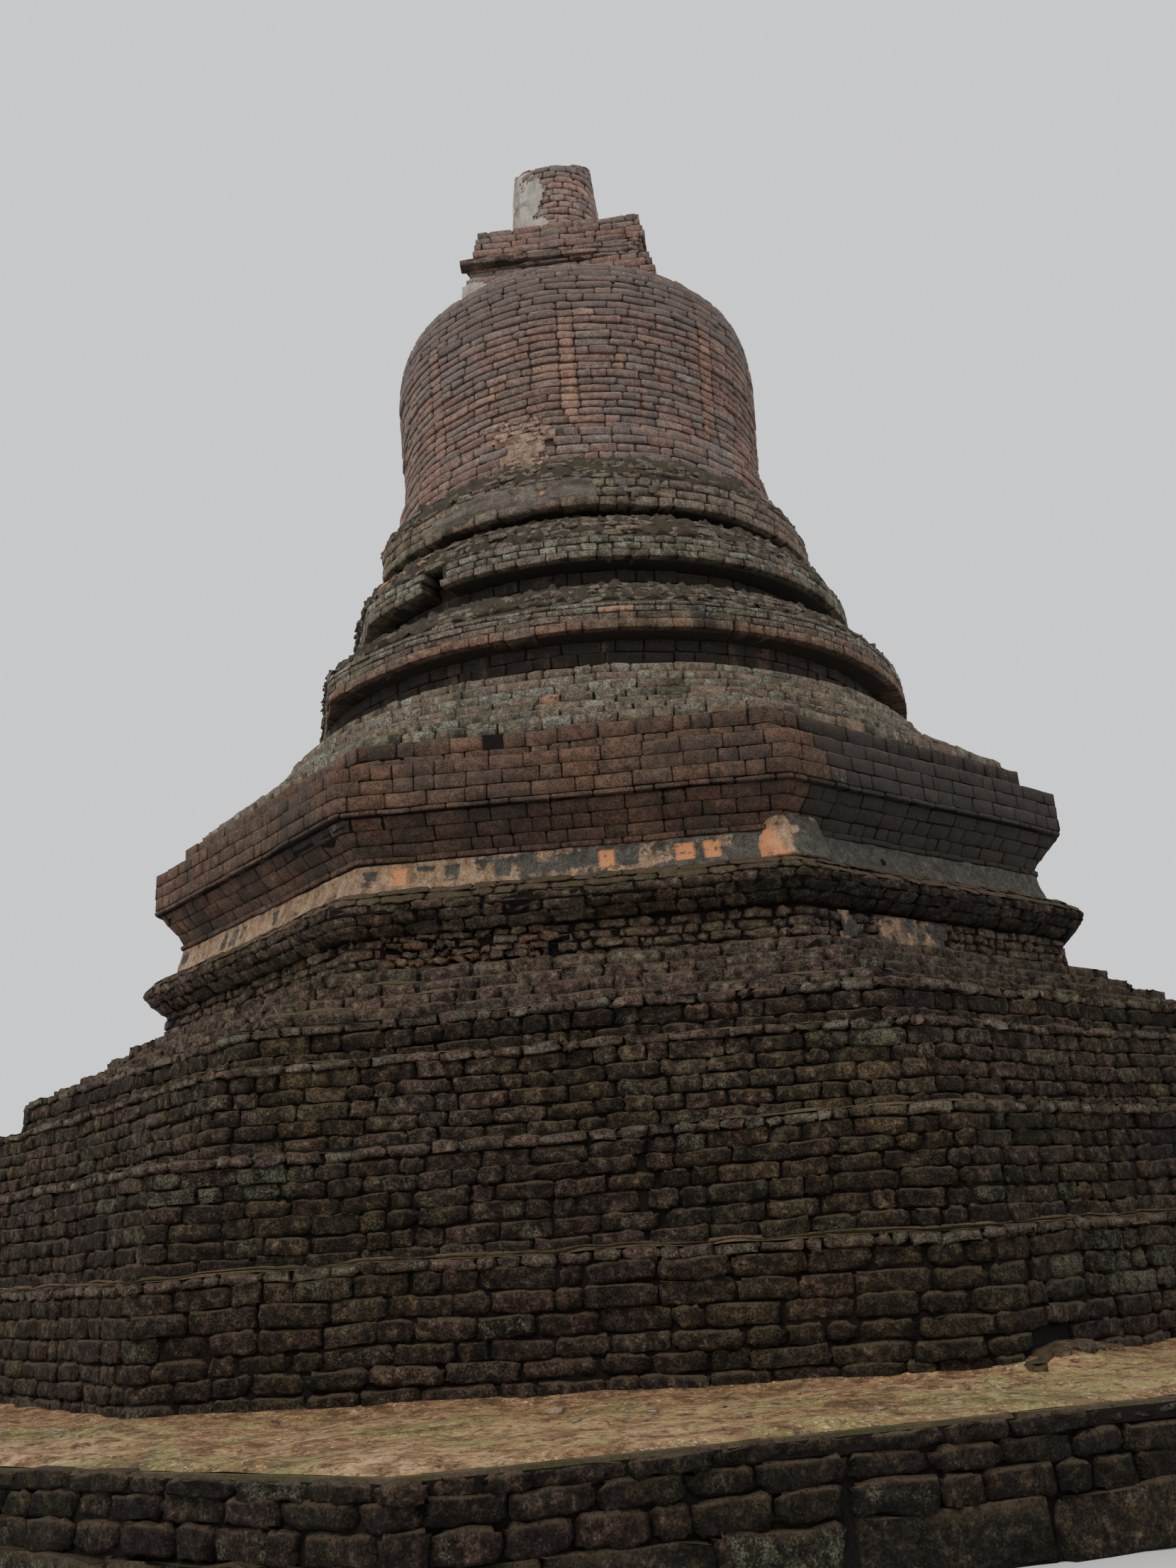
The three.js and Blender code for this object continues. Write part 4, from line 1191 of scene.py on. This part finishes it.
def roof():
    def paintLowest(stones):
        # The same side of the lowest roof course gets soot and painted shade.
        stones.sooty[isSootyShadedSide(stones.azimuth)] = corniceSet["soot"]
        share, amount = roofLook["lowCrust"]
        stones.lichen[(stones.index == 1) & chance(stones, share)] = amount

    def paint(stones):
        scatter(stones, "lichen", *roofLook["crust"])
        stones.warmth *= roofLook["warmth"]
        least, share = roofLook["tone"]
        stones.tone = least + share * stones.tone

    for i, part in enumerate(roofSet):
        courses = nodeCourses(f"roof_part_{i + 1}", part["courses"], roofLook["depth"], inset=part["inset"],
                              roundness=part["roundness"])
        name, seed = f"roofBlocks{i + 1}", 51 + i
        if i == 0:
            courses[1]["fixed"] = roofLook["missing"]
            style = dict(corniceStyle, rounding=(0.008, 0.018), push=0.007, lump=0.004)
            masonry(name, courses, style, corniceStone, "red_laterite", seed, paint=paintLowest)
        else:
            style = dict(ringStyle, stretcher=(0.32, 0.52), headerShare=0.25, rounding=(0.008, 0.018),
                         lump=0.005, push=0.008)
            masonry(name, courses, style, ringStone, "moss_laterite", seed, paint=paint)


roof()


# Rings: a lip with a deep recess under it, then a crown of stones under moss and soil.
# Breaks: azimuth and depth of the flats where the ring has fallen. Lip: its courses from the lowest up.
ringSet = (
    dict(number=3, above="ring_2_neck", shelf=0.20, breaks=((-162, 0.40),), lip=(0.115, 0.090, 0.075, 0.050),
         lichen=(0.0, 0.8, 1.0, 1.0), warmth=(1.0, 0.5, 0.3, 0.3), tone=(0.1, 0.0, 0.2, 0.2),
         style=dict(rounding=(0.005, 0.011), stretcher=(0.32, 0.46), lump=0.0035)),
    dict(number=2, above="ring_1_neck", shelf=0.12, breaks=((-160, 0.26),), lip=(0.095, 0.095, 0.09),
         lichen=(0.8, 1.1, 1.0), warmth=(0.40, 0.2, 0.2), tone=(0.2, 0.3, 0.3),
         style=dict(rounding=(0.006, 0.013), stretcher=(0.22, 0.36), lump=0.0045)),
    dict(number=1, above="bell_base", shelf=0.01, breaks=((-172, 0.33),), lip=(0.13, 0.13, 0.12),
         lichen=(0.3, 0.3, 0.4), warmth=(0.55, 0.55, 0.5), tone=(0.5, 0.5, 0.5),
         style=dict(rounding=(0.010, 0.020), stretcher=(0.30, 0.50), lump=0.006)),
)
ringGap = dict(number=2, azimuth=-118, half=2.7, rubble=((-136, -121),))
# Grey render left on the top ring: ranges of azimuth from 0 to 360, and how far it stands out
ringRender = dict(number=1, kept=((236, 283), (20, 75), (118, 150)), cover=0.040)


# The neck under each ring, darkened as painted shade, the lip over it and the crown on the lip
neckSet = dict(courseHeight=0.13, depth=0.2, soot=0.35, tone=-0.5, leastWarmth=0.5)
lipSet = dict(overlap=0.02, upperBack=0.015, lichen=(0.4, 1.2), warmth=(0.5, 1.1))
# "middle" is the share of the height and of the way in where the crown bends
crownSet = dict(courses=6, depth=0.28, lean=0.65, toe=0.03, middle=(0.6, 0.38), fresh=(0.3, 0.9), kept=0.85)


def ringNeck(number):
    node = f"ring_{number}_neck"
    low, high, face = span(node)

    def paint(stones):
        # Painted shade: the soot mark and the lower tone darken the neck in the recess under the lip.
        stones.sooty += neckSet["soot"]
        least = neckSet["leastWarmth"]
        stones.warmth = least + (1 - least) * stones.warmth

    count = max(1, round((high - low) / neckSet["courseHeight"]))
    courses = nodeCourses(node, count, neckSet["depth"], roundness=1.0)
    masonry(f"ring{number}Neck", courses, ringStyle, ringStone, "ring_stone", 160 + number, lichen=0.02,
            tone=neckSet["tone"], paint=paint)
    return face


def ringLip(ring, low, face, neckFace, broken):
    number = ring["number"]
    depth = face - neckFace + lipSet["overlap"]
    courses = stack(ring["lip"], low, ((0, face), (1, face)), depth, roundness=1.0, breaks=broken)
    for course in courses[1:]:
        course["face"] -= lipSet["upperBack"]

    def paint(stones):
        for k in range(len(ring["lip"])):
            course = stones.index == k
            amounts = stones.rng.uniform(*lipSet["lichen"], course.sum())
            stones.lichen[course] = ring["lichen"][k] * amounts
            amounts = stones.rng.uniform(*lipSet["warmth"], course.sum())
            stones.warmth[course] = (ring["warmth"][k] * amounts).clip(0, 1)
            stones.tone[course] += ring["tone"][k]
        if number == ringGap["number"]:
            stones.kept &= np.abs(stones.azimuth - ringGap["azimuth"]) > ringGap["half"]

    masonry(f"ring{number}Lip", courses, dict(ringStyle, **ring["style"]), ringStone, "ring_stone",
            60 + number, paint=paint)


def ringCrown(ring, foot, high, face, broken):
    number = ring["number"]
    above = span(ring["above"])[2]
    inner = above + ring["shelf"]
    bendAt, bendIn = crownSet["middle"]
    middle = face - (face - inner) * bendIn
    section = ((0.0, face - crownSet["toe"]), (bendAt, middle), (1.0, inner))
    courses = stack(evenly(foot, high, crownSet["courses"]), foot, section, crownSet["depth"],
                    lean=crownSet["lean"], roundness=1.0, breaks=broken)
    style = dict(ringStyle, stretcher=(0.18, 0.34), header=(0.10, 0.18), lump=0.010, push=0.016,
                 rounding=(0.014, 0.030))

    def paint(stones):
        rubble = inRanges(stones.azimuth, ringGap["rubble"]) & (number == ringGap["number"])
        rubble &= stones.index > 1
        stones.fresh[rubble] = stones.rng.uniform(*crownSet["fresh"], rubble.sum())
        stones.warmth *= 0.5
        stones.kept &= chance(stones, crownSet["kept"])

    masonry(f"ring{number}Crown", courses, style, ringStone, "ring_stone", 70 + number, lichen=0.5, tone=0.2,
            paint=paint)
    keyRows = ((face - 0.10, foot + 0.005), (face - 0.020, foot + 0.04),
               (middle + 0.012, foot + (high - foot) * bendAt + 0.005), (inner + 0.040, high - 0.01),
               (above + 0.02, high + 0.03, dict(roundness=1.0)))
    soilOn(f"ring{number}Soil", keyRows, crownSoil, "ring_stone", 170 + number, amount=0.024, spacing=0.045,
           step=0.045, lumpSize=2, roundness=1.0, breaks=broken)


def rings():
    for ring in ringSet:
        neckFace = ringNeck(ring["number"])
        low, high, face = span(f"ring_{ring['number']}_moulding")
        broken = tuple((azimuth, face - depth) for azimuth, depth in ring["breaks"])
        ringLip(ring, low, face, neckFace, broken)
        foot = low + sum(ring["lip"])
        ringCrown(ring, foot, high, face, broken)
        if ring["number"] == ringRender["number"]:
            cover = face + ringRender["cover"]
            keyRows = ((cover - 0.13, low), (cover - 0.02, low + 0.05), (cover, low + 0.16),
                       (cover - 0.02, foot - 0.02), (cover - 0.10, foot + 0.10))
            renderSkin("ringRender", keyRows, 180, ringRender["kept"], greyRender, "ring_stone", ragged=5,
                       roundness=1.0)


rings()


# Bell: thin long blocks; eight strips where narrower, warmer stones stand one above another, and patches
# where the facing has fallen and the mortar and rubble show: two azimuths and two heights.
# The sections are given by the share of the height and how far they draw back from the face.
bellSet = dict(courseHeight=0.114, depth=0.25, section=((0.0, 0.06), (0.34, 0.055), (0.63, 0.02), (0.88, 0),
                                                        (1.0, 0.02)),
               shoulderDepth=0.5, flatShare=0.74, stripTurn=-87.0, stripWidth=0.23,
               stripVaries=(0.82, 1.18), strong=(0, 4),
               strongFresh=(0.10, 0.55), weakFresh=(0.0, 0.2), fadeAbove=13.36, sootyAbove=13.3,
               sootyOver=0.8, paleRow=(-112, -70, 12.6, 12.8), lost=0.9,
               patches=((-108.5, -95, 11.10, 11.90), (64, 78, 12.3, 12.8)))


def inPatch(stones, patch, grow=0.0):
    start, end, floor, ceiling = patch
    across = (stones.azimuth > start - grow * 20) & (stones.azimuth < end + grow * 20)
    return across & (stones.z > floor - grow) & (stones.z < ceiling + grow)


def bellFacing(bodyFoot, bodyHigh, bodyFace, flat):
    courses = nodeCourses("bell_base", 4, bellSet["depth"], 0.0, 0.03, roundness=1.0)
    section = [(share, bodyFace - back) for share, back in bellSet["section"]]
    count = round((bodyHigh - bodyFoot) / bellSet["courseHeight"])
    body = stack(evenly(bodyFoot, bodyHigh, count), bodyFoot, section, bellSet["depth"], roundness=1.0)
    rng = np.random.default_rng(171)
    turn, width, varies = (bellSet[k] for k in ("stripTurn", "stripWidth", "stripVaries"))
    for course in body[2:-1]:
        course["fixed"] = [(turn + 45 * k, width * rng.uniform(*varies), False) for k in range(8)]
    shoulderFoot, top, shoulderFace = span("bell_shoulder")
    turns = [i / 8 * math.pi / 2 for i in range(9)]
    section = [(math.sin(t), flat + (shoulderFace - flat) * math.cos(t)) for t in turns]
    shoulder = stack(evenly(shoulderFoot, top, 7), shoulderFoot, section, bellSet["shoulderDepth"],
                     roundness=1.0)

    def paint(stones):
        strip, z, rng = stones.strip, stones.z, stones.rng
        number = np.rint(np.mod(stones.azimuth - bellSet["stripTurn"], 360) / 45).astype(int) % 8
        strong = np.isin(number, bellSet["strong"]) & (z < bellSet["fadeAbove"])
        warm = np.where(strong, rng.uniform(*bellSet["strongFresh"], len(z)),
                        rng.uniform(*bellSet["weakFresh"], len(z)))
        stones.fresh[strip] = warm[strip]
        stones.warmth[strip] = 1.0
        stones.tone[strip] += 0.2
        stones.fresh[inPatch(stones, bellSet["paleRow"]) & chance(stones, 0.4)] = 0.35
        upper = ((z - bellSet["sootyAbove"]) / bellSet["sootyOver"]).clip(0, 1)
        stones.sooty += upper * 0.7
        stones.tone -= upper * 0.3
        for patch in bellSet["patches"]:
            stones.kept &= ~(inPatch(stones, patch) & chance(stones, bellSet["lost"]))

    masonry("bellBlocks", courses + body + shoulder, bellStyle, bellStone, "bell_laterite", 71, lichen=0.05,
            fresh=0.02, paint=paint)


# Rubble in the patches: it also shows "grow" beyond them, and its core ends "over" the highest one
rubbleSet = dict(courses=23, depth=0.2, grow=0.05, over=0.06, kept=0.8, fresh=(0.3, 1.0), lichen=(0.2, 0.8),
                 tone=1.2)


def bellRubble(bodyFoot, bodyFace):
    low, _, face = span("bell_base")
    highest = max(patch[3] for patch in bellSet["patches"]) + rubbleSet["over"]
    stepShare = (bodyFoot - low) / (highest - low)
    section = ((0.0, face - 0.005), (stepShare, face - 0.025), (stepShare + 0.01, bodyFace - 0.058),
               (1.0, bodyFace - 0.030))
    heights = evenly(low, highest, rubbleSet["courses"])
    courses = stack(heights, low, section, rubbleSet["depth"], roundness=1.0)
    style = dict(bellStyle, stretcher=(0.10, 0.22), header=(0.05, 0.09), rounding=(0.014, 0.024), lump=0.010,
                 push=0.012, joint=0.010, bed=0.008, tip=0.012)

    def paint(stones):
        stones.kept &= np.any([inPatch(stones, p, rubbleSet["grow"]) for p in bellSet["patches"]], axis=0)
        stones.kept &= chance(stones, rubbleSet["kept"])
        stones.fresh = stones.rng.uniform(*rubbleSet["fresh"], len(stones.z))
        stones.lichen = stones.rng.uniform(*rubbleSet["lichen"], len(stones.z))

    masonry("bellRubble", courses, style, bellStone, "bell_laterite", 72, tone=rubbleSet["tone"],
            paint=paint)
    for i, (start, end, floor, ceiling) in enumerate(bellSet["patches"]):
        # the mortar stands just out of the core, between the rubble stones
        behind = bodyFace - (0.046 if floor < bodyFoot else 0.024)
        keyRows = ((behind, max(floor - 0.03, bodyFoot + 0.01)), (behind, ceiling + 0.05))
        if floor < bodyFoot:
            keyRows = ((face + 0.012, floor - 0.03), (face, bodyFoot), *keyRows)
        ranges = ((np.mod(start, 360) - 1, np.mod(end, 360) + 1),)
        renderSkin(f"bellMortar{i + 1}", keyRows, 190 + i, ranges, mortar, "bell_laterite", ragged=1.5,
                   roundness=1.0)


def bell():
    bodyFoot, bodyHigh, bodyFace = span("bell_body")
    _, top, shoulderFace = span("bell_shoulder")
    flat = shoulderFace * bellSet["flatShare"]
    bellFacing(bodyFoot, bodyHigh, bodyFace, flat)
    bellRubble(bodyFoot, bodyFace)
    soilOn("shoulderSoil", ((flat - 0.02, top + 0.005), (span("block_base")[2], top + 0.05)), crownSoil,
           "bell_laterite", 173, roundness=1.0)


bell()


# Square block on the bell with its cornice of thin slabs: each slab's height and how far it draws back.
# The pale render is left on the left side. The slabs are left at the front left corner and at the back. The
# others have fallen, and the core shows there.
squareForm = dict(turn=blockTurn, sides=4)
topSet = dict(courses=(("block_base", 4, 0.014), ("block_box", 2, 0.09), ("block_top", 4, 0.10)),
              fallen=((-116, 19.5), (135, 181), (-181, -137.5)),
              breaks=((-86, 1.332), (0, 1.19), (180, 1.22)),
              slabs=((0.07, 0.12), (0.09, 0.0), (0.07, 0.08), (0.07, 0.17)), render=((112, 246),))


def topBlock():
    for node, count, inset in topSet["courses"]:
        courses = nodeCourses(node, count, 0.2, 0.0, inset, **squareForm)
        masonry(f"{node}Blocks", courses, bellStyle, bellStone, "bell_laterite", 81 + count)
    foot, _, face = span("block_cornice")
    courses = []
    for height, inset in topSet["slabs"]:
        courses += stack([height], foot, ((0, face - inset), (1, face - inset)), 0.4, **squareForm)
        foot += height
    style = dict(ringStyle, stretcher=(0.5, 0.8), header=(0.3, 0.4), rounding=(0.008, 0.016), proud=0.02,
                 lump=0.009, wave=0.004)

    def paint(stones):
        stones.kept &= ~inRanges(stones.azimuth, topSet["fallen"])

    def paintCore(stones):
        stones.kept &= inRanges(stones.azimuth, topSet["fallen"])

    masonry("blockSlabs", courses, style, ringStone, "bell_laterite", 86, lichen=0.2, paint=paint)
    core = [dict(course, breaks=topSet["breaks"]) for course in courses]
    style = dict(bellStyle, lump=0.010, push=0.012, wave=0.004)
    masonry("blockCore", core, style, bellStone, "bell_laterite", 88, paint=paintCore)
    low, high, face = span("block_base")
    _, boxHigh, boxFace = span("block_box")
    keyRows = ((face + 0.045, low + 0.02), (face + 0.040, high), (boxFace + 0.045, high + 0.03),
               (boxFace - 0.045, boxHigh))
    renderSkin("blockRender", keyRows, 181, topSet["render"], paleRender, "pale_render", **squareForm)


topBlock()

# Stub of the spire: it stands off the axis, and the front half of its broken top slopes down
stubSet = dict(courses=15, depth=0.15, rimDepth=0.3, rimLean=0.9, rim=0.06, draw=0.125, rimDraw=0.035,
               drop=0.30, tone=0.7, sootyTop=0.55, soot=0.35, redFrom=0.85, redFresh=0.25,
               render=((100, 256),))


def stub():
    low, high, face = span("spire_stub")
    shift = sum(corner.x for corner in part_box("spire_stub")) / 2
    rimFoot = high - stubSet["rim"]
    rimFace = face - stubSet["draw"]
    heights = evenly(low, rimFoot, stubSet["courses"])
    courses = stack(heights, low, ((0, face), (1, rimFace)), stubSet["depth"], roundness=1.0)
    courses += stack([stubSet["rim"] - 0.01], rimFoot, ((0, rimFace), (1, rimFace - stubSet["rimDraw"])),
                     stubSet["rimDepth"], stubSet["rimLean"], roundness=1.0)

    def drop(y):
        return stubSet["drop"] * (-y / rimFace).clip(0, 1.1)

    def sheared(x, y, z):
        return x + shift, y, z - drop(y)

    def trimmed(x, y, z):
        return x + shift, y, np.minimum(z, high + 0.015 - drop(y))

    def lowered(x, y, z):
        return x + shift, y, z - drop(y) * ((z - low) / (high - low)) ** 3

    def paint(stones):
        stones.kept &= stones.z < high + 0.03 - drop(rimFace * np.sin(np.radians(stones.azimuth)))
        isTop = stones.z > high - stubSet["sootyTop"]
        stones.sooty[isTop] = stubSet["soot"]
        red = (stones.z > high - stubSet["redFrom"]) & (stones.z < high - stubSet["sootyTop"])
        stones.warmth[red] = 1.0
        stones.fresh[red] = stubSet["redFresh"]

    masonry("stubBlocks", courses, dict(bellStyle, stretcher=(0.2, 0.32)), bellStone, "pale_render", 87,
            tone=stubSet["tone"], paint=paint, fit=trimmed)
    keyRows = ((rimFace + 0.01, high - 0.07), (rimFace - 0.06, high - 0.005), (0.0, high + 0.015))
    soilOn("stubTop", keyRows, crownSoil, "pale_render", 174, amount=0.014, spacing=0.05, step=0.05,
           lumpSize=3, fit=sheared, roundness=1.0)
    keyRows = ((face + 0.05, low + 0.02), (rimFace + 0.05, rimFoot), (rimFace + 0.01, high - 0.005))
    renderSkin("stubRender", keyRows, 182, stubSet["render"], paleRender, "pale_render", fit=lowered,
               roundness=1.0)


stub()


# Studio: a pale floor and soft light
studio = dict(floorSize=400, floorColour=(0.55, 0.54, 0.52), floorRoughness=0.9,
              skyColour=(0.95, 0.97, 1.0), skyStrength=1.15, sunStrength=1.7, sunSpread=35,
              sunColour=(1.0, 0.96, 0.9), sunTurn=(38, 0, -35))


def studioFloor():
    bm = bmesh.new()
    bmesh.ops.create_grid(bm, x_segments=1, y_segments=1, size=studio["floorSize"] / 2)
    mesh = bpy.data.meshes.new("floor")
    bm.to_mesh(mesh)
    bm.free()
    floor = bpy.data.objects.new("floor", mesh)
    scene.collection.objects.link(floor)
    material, make, _ = newMaterial("floorFinish")
    shader = make("BsdfPrincipled", {"Base Color": (*studio["floorColour"], 1),
                                     "Roughness": studio["floorRoughness"]})
    make("OutputMaterial", {"Surface": shader.outputs[0]})
    mesh.materials.append(material)


def softLight():
    world = bpy.data.worlds.new("sky")
    scene.world = world
    world.use_nodes = True
    background = world.node_tree.nodes["Background"]
    background.inputs["Color"].default_value = (*studio["skyColour"], 1)
    background.inputs["Strength"].default_value = studio["skyStrength"]
    data = bpy.data.lights.new("softSun", "SUN")
    data.energy = studio["sunStrength"]
    data.angle = math.radians(studio["sunSpread"])
    data.color = studio["sunColour"]
    sun = bpy.data.objects.new("softSun", data)
    sun.rotation_euler = [math.radians(degrees) for degrees in studio["sunTurn"]]
    scene.collection.objects.link(sun)


studioFloor()
softLight()
print("studio set")
